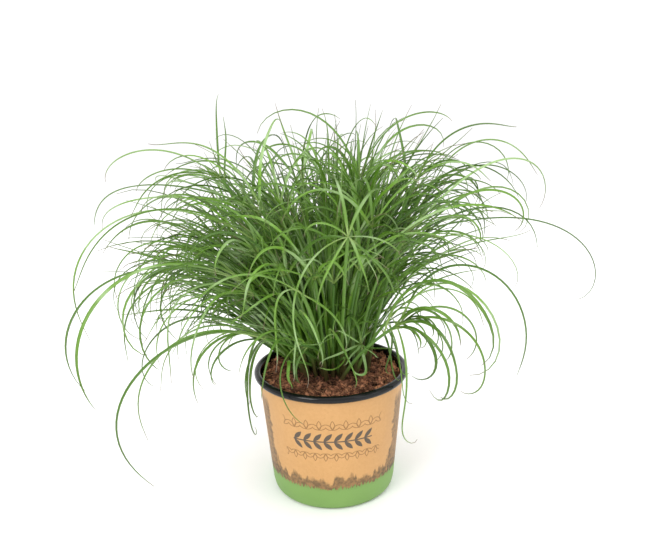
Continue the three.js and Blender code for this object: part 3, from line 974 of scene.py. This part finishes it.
def stem_rings(controls, radius):
    """A three-sided section along a Bezier curve, wider by the sheath near the foot."""
    line = bezier(controls, STEM_ROWS)
    way = unit(np.gradient(line, axis=0))
    side = unit(np.cross(way, NEVER_ALONG))
    angle = evenly(STEM_COLUMNS)
    share = np.linspace(0, 1, STEM_ROWS + 1)[:, None]
    swell = 1 + SHEATH_SWELL * np.exp(-((share / SHEATH_SHARE) ** 2))
    reach = radius * (1 + CORNER * np.cos(3 * angle)) * swell * (1 - STEM_TAPER * share)
    return around(line, side, np.cross(side, way), reach * np.cos(angle), reach * np.sin(angle))


def stem_finish():
    """Green by tone, with the brown of the sheath at the foot, painted darker there as shade."""
    finish = Finish("stem_green", Specular_IOR_Level=0.4)
    along, tone = finish.mark("along"), finish.mark("tone")
    mottle = finish.noise(140, 3)
    green = finish.mix(tone * 0.6 + mottle * 0.4, paint(58, 98, 32), paint(112, 150, 66))
    # The sheath's brown near the soil, made darker as painted shade.
    sheath_and_shade = finish.step(along + mottle * 0.12, 0.42, 0.14) * 0.9
    green = finish.mix(sheath_and_shade, green, paint(74, 58, 34))
    return finish.complete(green, 0.34 + mottle * 0.2, finish.noise(900), 0.00006)


def stems(name, controls, radius, seed):
    rings = np.stack([stem_rings(points, radius) for points in controls])
    marks = {
        "along": np.linspace(0, 1, STEM_ROWS + 1)[None, :, None],
        "tone": np.random.default_rng(seed).random(len(controls))[:, None, None],
    }
    return skin(name, rings, marks, sharp=50)


STEM = stem_finish()
STEM_SOLIDS = [f"stem_{number:02d}" for number in range(1, SHOOT_COUNT + 1)]
main_stems = stems("stems", [shoot["controls"] for shoot in shoots], MAIN_STEM_RADIUS, STEM_SEED)
settle(main_stems, "stem", STEM, *STEM_SOLIDS)

# %% [markdown]
# ## Young shoots
#
# Between the main shoots stand many young ones, shorter, with thin stems and fine leaves. A few at
# the front are listed, because they are seen well. The others stand in the same sunflower
# order, turned by half a step, and lean out more the further out they stand. Their leaves stay close
# to the main ones, where the plant is dense: a leaf is drawn again until it does.

# %% Young shoots
YOUNG_COUNT = 64
YOUNG_RADIUS = 26
YOUNG = {"count": 6, "open": (2, 44), "length": (60, 135), "width": (1.1, 2.9)}
YOUNG_REACH = (35, 182)
LEAST_LEAN = 2
YOUNG_LEAN = 32
YOUNG_FRONT = 0.35
YOUNG_RIGHT = 0.4
OUTER_SHORTER = 0.35
YOUNG_GROUPS = 4
YOUNG_STEM_RADIUS = 1.1
YOUNG_SEED = 23
YOUNG_STEM_SEED = 6
YOUNG_BLADE_SEED = 60
CLOSE = 24
FRONT_SHOOTS = [
    [(23, -26, 126), (-133, 80, 61, 170, 82, 2.2, 2.1, 68), (-139, 38, 29, -35, -15, 1.8, 4),
     (-132, 8, 41, 7, -35, 2.2, 0.3, -15), (-106, -1, 30, 112, -48, 1.8, 4, 107),
     (-58, -80, 39, -60, -149, 2.4, 1.4, 13), (-75, -3, 21, 140, 112, 1.8, 4, 150),
     (20, -89, 34, -26, -126, 2.2, 0.3, -60), (19, 70, 12, -12, -5, 1.6)],
    [(-20, -62, 166), (52, -12, 54, 83, -103, 2.2, 0.3, -35)],
    [(-33, -58, 162), (-45, -68, 49, -60, 76, 1.3, 1.4, -60)],
    [(11, -22, 114), (-150, -89, 26, -39, -29, 1.5, 0.6, -60)],
    [(0, -40, 144), (-57, 21, 50, 77, 84, 2.6, 0.3, -37)],
    [(-31, -44, 121), (-75, 89, 27, 147, -160, 2.2, 0.5, 83)],
    [(-32, -55, 174), (-113, 89, 58, 47, -132, 2.8, 0.3, -59)],
    [(-30, -50, 187), (242, 59, 71, 115, -19, 2.8, 1.1, 50)],
]


def close_to_main(points):
    """Whether every stretch of a leaf passes near a stem or leaf that the CAD model has."""
    starts, ends = placed.table[:, :3], placed.table[:, 3:6]
    return all(stretch_gaps(*pair, starts, ends).min() <= CLOSE for pair in zip(points, points[1:]))


def young_leaf(start, axis, place, draws):
    """A drawn leaf that keeps to the plant, or nothing where there is no room."""
    for _ in range(TRIES):
        leaf = drawn_leaf(axis, place, YOUNG, draws)
        points = stations(start, leaf)
        if inside_box(points) and off_pot_and_floor(points) and close_to_main(points):
            return leaf
    return None


def young_whorl(foot, draws):
    """The reach from the foot, tilted outwards: less in front and on the right than elsewhere."""
    heading, share, (front, _, right, _) = stand(foot, YOUNG_RADIUS)
    lean = LEAST_LEAN + YOUNG_LEAN * share * (1 - YOUNG_FRONT * front - YOUNG_RIGHT * right)
    reach = draws.between(*YOUNG_REACH) * (1 - OUTER_SHORTER * share)
    return foot + reach * tilted(heading, math.radians(lean))


def young_shoots():
    """The controls of the stem, the whorl's place and the leaves of each young shoot."""
    draws = Draws(YOUNG_SEED)
    feet = list(sunflower(YOUNG_COUNT, YOUNG_RADIUS, ahead=0.5))
    made = []
    for whorl, *leaves in FRONT_SHOOTS:
        whorl = np.array(whorl, float)
        controls, _ = stem_controls(take_foot(feet, whorl), whorl)
        made.append((controls, whorl, [full_row(leaf) for leaf in leaves]))
    for foot in feet:
        whorl = young_whorl(foot, draws)
        controls, axis = stem_controls(foot, whorl)
        drawn = [young_leaf(whorl, axis, place, draws) for place in range(YOUNG["count"])]
        made.append((controls, whorl, [leaf for leaf in drawn if leaf]))
    return made


def make_young_shoots():
    made = young_shoots()
    controls = [shoot[0] for shoot in made]
    settle(stems("young_stems", controls, YOUNG_STEM_RADIUS, YOUNG_STEM_SEED), "stem", STEM)
    for group in range(YOUNG_GROUPS):
        members = made[group::YOUNG_GROUPS]
        starts = [whorl for _, whorl, leaves in members for _ in leaves]
        values = [leaf for _, _, leaves in members for leaf in leaves]
        piece = blades(f"young_leaves_{group + 1}", starts, values, FINE_BLADE, YOUNG_BLADE_SEED + group)
        settle(piece, "leaf", YOUNG_LEAF)


make_young_shoots()

# %% [markdown]
# ## Leaves from the foot
#
# At its foot the plant is a thicket: shoots that haven't opened yet stand upright between the stems,
# so hardly any light comes through. They are the same blades again. They start at the soil in small
# tufts with dark gaps between them, steep in the middle of the clump and leaning out at its edge,
# and bend over more and more towards their tips. Their feet are wrapped in old brown sheaths, whose
# brown is painted darker as shade.

# %% Leaves from the foot
FOOT_LEAVES = 740
FOOT_TUFTS = 40
TUFT_SPREAD = 1.6
FOOT_RADIUS = 22
FOOT_LENGTH = (100, 262)
FOOT_WIDTH = (1.3, 3.6)
FOOT_LEAN = 45
FOOT_FRONT = 0.75
FOOT_RIGHT = 0.68
LEAN_CHANCE = 5
HEADING_CHANCE = 0.5
FOOT_BACK = 5
FOOT_BEND = 2.0
FOOT_BENDING = (0, 80)
FOOT_CURL = (-30, 30)
EDGE_SHORTER = 0.28
FRONT_EDGE_SHORTER = 0.1
FOOT_SEED = 90
FOOT_BLADE_SEED = 91


def foot_leaves():
    """Rows of values for all of them: the tip's rise is the start's less how far the leaf bends."""
    random = np.random.default_rng(FOOT_SEED)
    tufts = sunflower(FOOT_TUFTS, FOOT_RADIUS)[np.arange(FOOT_LEAVES) % FOOT_TUFTS]
    starts = tufts + random.normal(0, TUFT_SPREAD, (FOOT_LEAVES, 3)) * [1, 1, 0] + [0, FOOT_BACK, 0]
    aside = starts[:, :2] - [0, CLUMP_BACK]
    share = np.linalg.norm(aside - [0, FOOT_BACK], axis=1) / FOOT_RADIUS
    heading = np.arctan2(aside[:, 1], aside[:, 0]) + random.normal(0, HEADING_CHANCE, FOOT_LEAVES)
    front = np.maximum(0, -np.sin(heading))
    right = np.maximum(0, np.cos(heading))
    lean = LEAST_LEAN + FOOT_LEAN * share * (1 - FOOT_FRONT * front - FOOT_RIGHT * right)
    rise = 90 - (lean + random.normal(0, LEAN_CHANCE, FOOT_LEAVES))
    bending = random.uniform(*FOOT_BENDING, FOOT_LEAVES)
    shorter = (EDGE_SHORTER + FRONT_EDGE_SHORTER * front) * share
    length = random.uniform(*FOOT_LENGTH, FOOT_LEAVES) * (1 - shorter)
    curl = random.uniform(*FOOT_CURL, FOOT_LEAVES)
    width = random.uniform(*FOOT_WIDTH, FOOT_LEAVES)
    late = np.full((2, FOOT_LEAVES), [[FOOT_BEND], [0]])
    values = np.stack([np.degrees(heading), rise, length, bending - rise, curl, width, *late], axis=1)
    tips = courses(starts, values, LEAF_STEPS)[0]
    inside = [inside_box(tip) for tip in tips]
    return starts[inside], values[inside]


settle(blades("foot_leaves", *foot_leaves(), FINE_BLADE, FOOT_BLADE_SEED), "leaf", FOOT_LEAF)

# %% [markdown]
# ## Pot
#
# The pot is moulded plastic: a tapered wall with a rounded foot, a glossy black roll at the rim, and
# drain holes near the edge of its base. It is a turned form, so its profile is carried round the
# axis: up the outside, over the roll, down the inside and across the floor. The drain holes are cut
# by a Boolean modifier with six small tubes, which is then applied.

# %% Pot
ROLL_RADIUS = 2.7
WALL_TOP_RADIUS = 57
BASE_RADIUS = 48
BASE_ROUNDING = 5
WALL = 1.4
POT_FLOOR = 2
WALL_START = 8
MIDDLE_RADIUS = 4
POT_COLUMNS = 160
DRAIN_HOLES = 6
DRAIN_RADIUS = 4
DRAIN_CIRCLE = 36
DRAIN_COLUMNS = 24


def wall_radius(height):
    """The outer radius of the tapered wall at a height."""
    return BASE_RADIUS + (WALL_TOP_RADIUS - BASE_RADIUS) * height / POT_HEIGHT


def arc(radius, height, size, start, end, steps):
    """Points of a profile on an arc, with the angles measured from straight out."""
    angle = np.radians(np.linspace(start, end, steps))
    return np.stack([radius + size * np.cos(angle), height + size * np.sin(angle)], axis=1)


def line(start, end, steps):
    return np.linspace(start, end, steps)


def pot_profile():
    """From the middle of the underside to that of the floor, where flat faces close the form."""
    roll_height = POT_HEIGHT - ROLL_RADIUS
    under_roll = roll_height - ROLL_RADIUS
    inside_foot = (BASE_RADIUS - WALL, BASE_ROUNDING + POT_FLOOR)
    inside_top = (wall_radius(SOIL_TOP) - WALL, SOIL_TOP)
    return np.concatenate([
        line((MIDDLE_RADIUS, 0), (BASE_RADIUS - BASE_ROUNDING - 1, 0), 8),
        arc(BASE_RADIUS - BASE_ROUNDING, BASE_ROUNDING, BASE_ROUNDING, -90, -6, 9),
        line((wall_radius(WALL_START), WALL_START), (wall_radius(under_roll), under_roll), 24),
        arc(RIM_RADIUS - ROLL_RADIUS, roll_height, ROLL_RADIUS, -80, 190, 22),
        line(inside_top, inside_foot, 12),
        line((BASE_RADIUS - BASE_ROUNDING, POT_FLOOR), (MIDDLE_RADIUS, POT_FLOOR), 8),
    ])


def cut_drain_holes(pot):
    hole = turned_rings([(DRAIN_RADIUS, -POT_FLOOR), (DRAIN_RADIUS, 2 * POT_FLOOR)], DRAIN_COLUMNS)
    cutter = skin("drain_cutter", hole + polar(DRAIN_CIRCLE, evenly(DRAIN_HOLES), 0)[:, None, None])
    cut = pot.modifiers.new("drain_holes", "BOOLEAN")
    cut.object = cutter
    cut.solver = "EXACT"
    bpy.context.view_layer.objects.active = pot
    bpy.ops.object.modifier_apply(modifier=cut.name)
    bpy.data.objects.remove(cutter)


# %% [markdown]
# ## Pot finish
#
# The wall carries a print: plain kraft paper in look, a green band round the foot with a grassy
# edge, low undergrowth above it, reeds at the two sides, and a branch of filled leaves between two
# rows of outlined ones across the front. The print is a drawing in two directions, the distance
# round the wall and the height, both worked out from the place on the pot. A leaf is a lens, and
# its outline is where the distance to the lens's edge is small.

# %% Pot finish
PRINT_RADIUS = 53
BAND_HEIGHT = 20
INK_WIDTH = 0.32
BRANCH_HEIGHT = 61
BRANCH_HALF = 30
BRANCH_CELL = 7.6
BRANCH_LEAF = {"turn": 0.75, "length": 9.5, "width": 1.7}
UPPER_ROW = {"cell": 9.5, "shift": 0.5, "foot": 71, "size": 7.5}
LOWER_ROW = {"cell": 8, "shift": 0.2, "foot": 51, "size": 6.5, "up": -1}
SPRIG_TURNS = (-0.9, 0, 0.9)
ROW_HALF = 38
REED_MIDDLE = 63
GRASS_ROWS = ((1.7, 3, 0.3), (2.9, 3, 0.7))
OUTWARD = 0.3


class Print:
    """The drawing on the wall: masks from the distance round it and the height, in millimetres."""

    def __init__(self, finish):
        self.finish = finish
        place = {"Vector": finish.place()}
        x, y, z = (finish.node("ShaderNodeSeparateXYZ", None, place, axis) for axis in "XYZ")
        self.round = finish.maths("ARCTAN2", x, y * -1) * PRINT_RADIUS
        self.up = z / MM

    def together(self, first, *others):
        """The ink of several masks together."""
        for mask in others:
            first = self.finish.maths("MAXIMUM", first, mask)
        return first

    def cell(self, width, shift=0):
        """How far a point is from the middle of its cell, in cells of a width round the wall."""
        return (self.finish.maths("FRACT", self.round / width + shift) - 0.5) * width

    def lens(self, beside, above, turn, length, width):
        """How far a point lies outside a lens: its half width shrinks with the square of along."""
        along = above * math.cos(turn) + beside * math.sin(turn)
        aside = beside * math.cos(turn) - above * math.sin(turn)
        middle = along / length - 0.5
        return abs(aside) - (1 - middle * middle * 4) * width

    def grass(self, cell, height, seed):
        """The height of one row of pointed blades, each as tall as chance says for its cell."""
        finish = self.finish
        number = finish.maths("FLOOR", self.round / cell + seed)
        tall = finish.node("ShaderNodeTexWhiteNoise", {"noise_dimensions": "1D"}, {"W": number})
        return (1 - abs(self.cell(cell, seed)) * 2 / cell) * tall * height

    def sprig(self, cell, shift, foot, size, up=1):
        """The ink of outlined leaves: one upright lens, or hanging one, and two at its sides."""
        beside = self.cell(cell, shift)
        above = (self.up - foot) * up
        lenses = (self.lens(beside, above, turn, size, size * 0.2) for turn in SPRIG_TURNS)
        return self.together(*(abs(lens) < INK_WIDTH for lens in lenses))

    def branch(self):
        """A thin line with pairs of filled leaves that lean the same way."""
        beside = self.cell(BRANCH_CELL) + BRANCH_CELL * 0.4
        above = self.up - BRANCH_HEIGHT
        leaves = (self.lens(beside, above * side, **BRANCH_LEAF) < 0 for side in (-1, 1))
        return self.together(abs(above) < INK_WIDTH * 1.6, *leaves)

    def reeds(self):
        """The ink of a clump at each side, with an uneven edge, wider at its foot."""
        finish = self.finish
        wobble = finish.noise_along(self.up, 0.12, 5) * 9 + finish.noise(260, 4) * 7
        foot = finish.step(self.up, 48, 16) * 12
        beside = abs(abs(self.round) - REED_MIDDLE)
        clump = finish.step(beside - wobble - foot, 1.5, -1.5)
        gaps = finish.step(finish.noise_along(self.round, 1.1, 3), 0.34, 0.46)
        return clump * gaps * finish.step(self.up + wobble, 95, 88)


def print_finish():
    finish = Finish("kraft_print", Specular_IOR_Level=0.35)
    sheet = Print(finish)
    paper = finish.noise(420, 4)
    cloud = finish.noise(35)
    kraft = finish.mix(paper * 0.6 + cloud * 0.4, paint(184, 138, 84), paint(208, 162, 108))
    fleck = finish.step(finish.noise(1500), 0.66, 0.74)

    # Outlined leaves in two rows, and a branch of filled leaves between them
    front = finish.step(abs(sheet.round), ROW_HALF + 1, ROW_HALF - 1)
    rows = sheet.together(sheet.sprig(**UPPER_ROW), sheet.sprig(**LOWER_ROW)) * front
    middle = finish.step(abs(sheet.round), BRANCH_HALF + 0.5, BRANCH_HALF)

    # Undergrowth with an uneven skyline, in the shades that the reeds have too
    skyline = finish.noise_along(sheet.round, 0.11, 4) * 26 + BAND_HEIGHT - 9
    bush = finish.step(sheet.up - skyline - finish.noise(300, 3) * 7, 2.0, -2.0)
    clouded = finish.step(finish.noise(380, 4), 0.35, 0.65)
    shade = finish.mix(clouded, paint(60, 54, 42), paint(128, 98, 64))

    # The green band with its grassy edge
    edge = BAND_HEIGHT - 1.5 + sum(sheet.grass(*row) for row in GRASS_ROWS)
    band = finish.step(sheet.up - edge, 0.25, -0.25)
    deep = finish.step(sheet.up - finish.noise(160, 3) * 9, BAND_HEIGHT - 8, BAND_HEIGHT + 2)
    green = finish.mix(cloud, paint(112, 148, 76), paint(124, 160, 88))
    colour = finish.cover(
        kraft,
        (fleck * 0.35, paint(130, 92, 52)),
        (rows * 0.7, paint(112, 78, 42)),
        (sheet.branch() * middle * 0.9, paint(62, 62, 60)),
        (bush * 0.8, shade),
        (sheet.reeds() * 0.85, shade),
        (band, finish.mix(deep * 0.75, green, paint(84, 112, 54))),
    )
    return finish.complete(colour, 0.44 + cloud * 0.12, paper, 0.00003)


def black_plastic():
    """Nearly black and glossy, with a faint haze."""
    finish = Finish("black_plastic", Specular_IOR_Level=0.3)
    haze = finish.noise(90, 3)
    black = finish.mix(haze, paint(5, 6, 7), paint(13, 14, 17))
    return finish.complete(black, 0.1 + haze * 0.1, finish.noise(700), 0.00002)


def make_pot():
    """Black plastic all over, and the print on the faces of the wall that look outwards."""
    pot = skin("printed_pot", turned_rings(pot_profile(), POT_COLUMNS)[None], sharp=35)
    cut_drain_holes(pot)
    settle(pot, "pot_plastic", black_plastic(), "pot")
    pot.data.materials.append(print_finish())
    faces = pot.data.polygons
    middles, normals = measured(faces, "center") / MM, measured(faces, "normal")
    outwards = (middles[:, :2] * normals[:, :2]).sum(axis=1) > OUTWARD
    below_roll = middles[:, 2] < POT_HEIGHT - 2 * ROLL_RADIUS
    outside = from_axis(middles) > BASE_RADIUS - BASE_ROUNDING + 1
    faces.foreach_set("material_index", (outwards & below_roll & outside).astype(np.int32))


make_pot()

# %% [markdown]
# ## Soil
#
# Coir is loose: chips and dust with ginger fibres in it, and its hollows are painted dark as shade.
# The body of the soil is a turned form that fills the pot, and its top rings are lifted and sunk by
# a sum of waves in many directions. The mesh carries how much daylight reaches a point, less among
# the stems and in a hollow, and the colour is painted darker by it as shade. Chips and fibres then
# lie on the soil as small closed forms of their own.

# %% Soil
SOIL_COLUMNS = 220
SOIL_GAP = 0.3
SOIL_WAVES = 40
WAVE_LENGTH = (3.5, 18)
WAVE_HEIGHT = 0.38
WAVE_GROWTH = 0.7
FULL_WAVE = 16
SOIL_SEED = 8
SOIL_RISE = 2.6
SOIL_DEPTH = 2.6
SOIL_TOP_ROWS = 80
UNDER_MIDDLE = 3
TOP_MIDDLE = 0.4
EDGE_STEP = 0.6
LEVEL_LIGHT = 0.6
GRAIN_DEPTH = 0.0009
SHADE_AT_CLUMP = 0.25
SHADE_REACH = 12


def soil_height(places):
    """The sum of waves with random directions, lengths and starts, the longer ones the higher."""
    random = np.random.default_rng(SOIL_SEED)
    turn = random.uniform(0, 2 * np.pi, SOIL_WAVES)
    length = random.uniform(*WAVE_LENGTH, SOIL_WAVES)
    begin = random.uniform(0, 2 * np.pi, SOIL_WAVES)
    x, y = places[..., :1], places[..., 1:2]
    along = x * np.cos(turn) + y * np.sin(turn)
    waves = np.sin(2 * np.pi * along / length + begin) * (length / FULL_WAVE) ** WAVE_GROWTH
    return SOIL_TOP + SOIL_RISE + WAVE_HEIGHT * waves.sum(axis=-1)


def daylight(points):
    """1 where the soil lies open, and less near the stems and down in a hollow."""
    from_clump = from_axis(points - [0, CLUMP_BACK, 0]) - CLUMP_RADIUS
    shade = np.clip(SHADE_AT_CLUMP + from_clump / SHADE_REACH, 0, 1)
    lift = np.clip(LEVEL_LIGHT + (points[..., 2] - SOIL_TOP - SOIL_RISE) / SOIL_DEPTH, 0, 1)
    return shade * lift


def soil_profile():
    """Under the soil, up its side, and over its top, which is still level here."""
    top_edge = wall_radius(SOIL_TOP) - WALL - 2 * SOIL_GAP
    bottom = POT_FLOOR + SOIL_GAP
    return np.concatenate([
        line((UNDER_MIDDLE, bottom), (BASE_RADIUS - BASE_ROUNDING - 2 * SOIL_GAP, bottom), 3),
        line((BASE_RADIUS - WALL - 2 * SOIL_GAP, BASE_ROUNDING + POT_FLOOR), (top_edge, SOIL_TOP), 6),
        line((top_edge - EDGE_STEP, SOIL_TOP), (TOP_MIDDLE, SOIL_TOP), SOIL_TOP_ROWS),
    ])


def soil_finish(name, dark, light, fine):
    """From dark to light by tone, with so many fine grains in a metre and painted shade in pits."""
    finish = Finish(name, Specular_IOR_Level=0.25)
    tone = finish.mark("tone")
    grain = finish.noise(fine, 5)
    colour = finish.mix(tone * 0.75 + grain * 0.45 - 0.1, dark, light)
    # Painted shade: near-black spots where the grains leave pits between them.
    pit_shade = finish.step(grain + finish.noise(fine / 5) * 0.8, 0.92, 0.74)
    colour = finish.mix(pit_shade * 0.9, colour, paint(16, 10, 7))
    return finish.complete(colour, 0.75 + grain * 0.25, grain, GRAIN_DEPTH)


def make_soil():
    rings = turned_rings(soil_profile(), SOIL_COLUMNS)
    top = rings[-SOIL_TOP_ROWS:]
    top[..., 2] = soil_height(top)
    # The tone is the daylight, so the soil's colour is painted darker as shade near the stems and in
    # hollows.
    piece = skin("soil_body", rings[None], {"tone": daylight(rings)[None]})
    finish = soil_finish("coir_with_painted_shade", paint(24, 14, 10), paint(206, 138, 100), 800)
    settle(piece, "coir", finish, "soil")


make_soil()

# %% [markdown]
# ## Chips and fibres
#
# A chip is a squashed ball with few points whose radius chance makes uneven, turned any way. A fibre
# is a hair that wanders: its heading is the running sum of small random turns. They lie at the
# soil's height all over it, and are darker among the stems, where less daylight falls.

# %% Chips and fibres
CHIPS = 1900
CHIP_SIZE = (0.7, 3.0)
CHIP_COLUMNS = 6
CHIP_LEVELS = (-62, -20, 20, 62)
CHIP_UNEVEN = (0.65, 1.3)
FLATTEST = (0.8, 0.4, 0.25)
ROUNDEST = (1.6, 0.9, 0.6)
CHIP_SEED = 31
FIBRES = 1500
FIBRE_LENGTH = (4, 14)
FIBRE_RADIUS = (0.12, 0.3)
FIBRE_ROWS = 8
FIBRE_TURN = 0.35
FIBRE_TILT = 0.18
FIBRE_SLOPE = (-0.5, 0.7)
FIBRE_SUNK = 0.1
FIBRE_SEED = 47
LEAST_LIGHT = 0.15
SOIL_REACH = 52


def scattered(count, random):
    """Places spread evenly over the soil: the radius goes with the root of chance."""
    reach = SOIL_REACH * np.sqrt(random.random(count))
    places = polar(reach, random.uniform(0, 2 * np.pi, count), 0)
    places[:, 2] = soil_height(places)
    return places


def turned_any_way(rings, random):
    """Turns each tube by a random unit quaternion (w, v): p + 2 v x (v x p + w p)."""
    quaternions = unit(random.normal(size=(len(rings), 1, 1, 4)))
    w, v = quaternions[..., :1], quaternions[..., 1:]
    return rings + 2 * np.cross(v, np.cross(v, rings) + w * rings)


def settle_loose(name, rings, places, finish, random, sharp=None):
    """All bits of one kind as one piece, each as light as chance and the daylight make it."""
    tone = random.random(len(rings)) * (LEAST_LIGHT + daylight(places))
    settle(skin(name, rings, {"tone": tone[:, None, None]}, sharp), "coir", finish)


def make_chips():
    """Rings at four heights of a ball, with each point moved out or in by about a third."""
    random = np.random.default_rng(CHIP_SEED)
    levels = np.radians(CHIP_LEVELS)
    ball = turned_rings(zip(np.cos(levels), np.sin(levels)), CHIP_COLUMNS)
    uneven = ball * random.uniform(*CHIP_UNEVEN, (CHIPS, *ball.shape[:2], 1))
    squash = random.uniform(FLATTEST, ROUNDEST, (CHIPS, 3))[:, None, None]
    size = random.uniform(*CHIP_SIZE, CHIPS)[:, None, None, None]
    chips = turned_any_way(uneven * squash * size, random)
    places = scattered(CHIPS, random)
    finish = soil_finish("coir_chip", paint(58, 32, 22), paint(226, 156, 118), 1500)
    settle_loose("coir_chips", places[:, None, None] + chips, places, finish, random, sharp=40)


def make_fibres():
    """Triangular hairs along wandering lines, which stay on the soil and inside the pot."""
    random = np.random.default_rng(FIBRE_SEED)
    size = (FIBRES, FIBRE_ROWS)
    wander = np.cumsum(random.normal(0, FIBRE_TURN, size), axis=1)
    heading = random.uniform(0, 2 * np.pi, FIBRES)[:, None] + wander
    slope = np.clip(np.cumsum(random.normal(0, FIBRE_TILT, size), axis=1), *FIBRE_SLOPE)
    way = polar(1, heading, slope)
    length = random.uniform(*FIBRE_LENGTH, FIBRES)[:, None, None]
    points = scattered(FIBRES, random)[:, None] + np.cumsum(way, axis=1) * length / FIBRE_ROWS
    points[..., 2] = np.maximum(points[..., 2], soil_height(points) - FIBRE_SUNK)
    points[..., :2] *= np.minimum(1, SOIL_REACH / from_axis(points)[..., None])
    radius = random.uniform(*FIBRE_RADIUS, FIBRES)[:, None, None]
    beside, above = radius * np.cos(evenly(3)), radius * np.sin(evenly(3))
    rings = around(points, sideways(heading), np.array([0, 0, 1]), beside, above)
    finish = soil_finish("coir_fibre", paint(76, 44, 30), paint(236, 172, 130), 2500)
    settle_loose("coir_fibres", rings, points[:, 0], finish, random)


make_chips()
make_fibres()
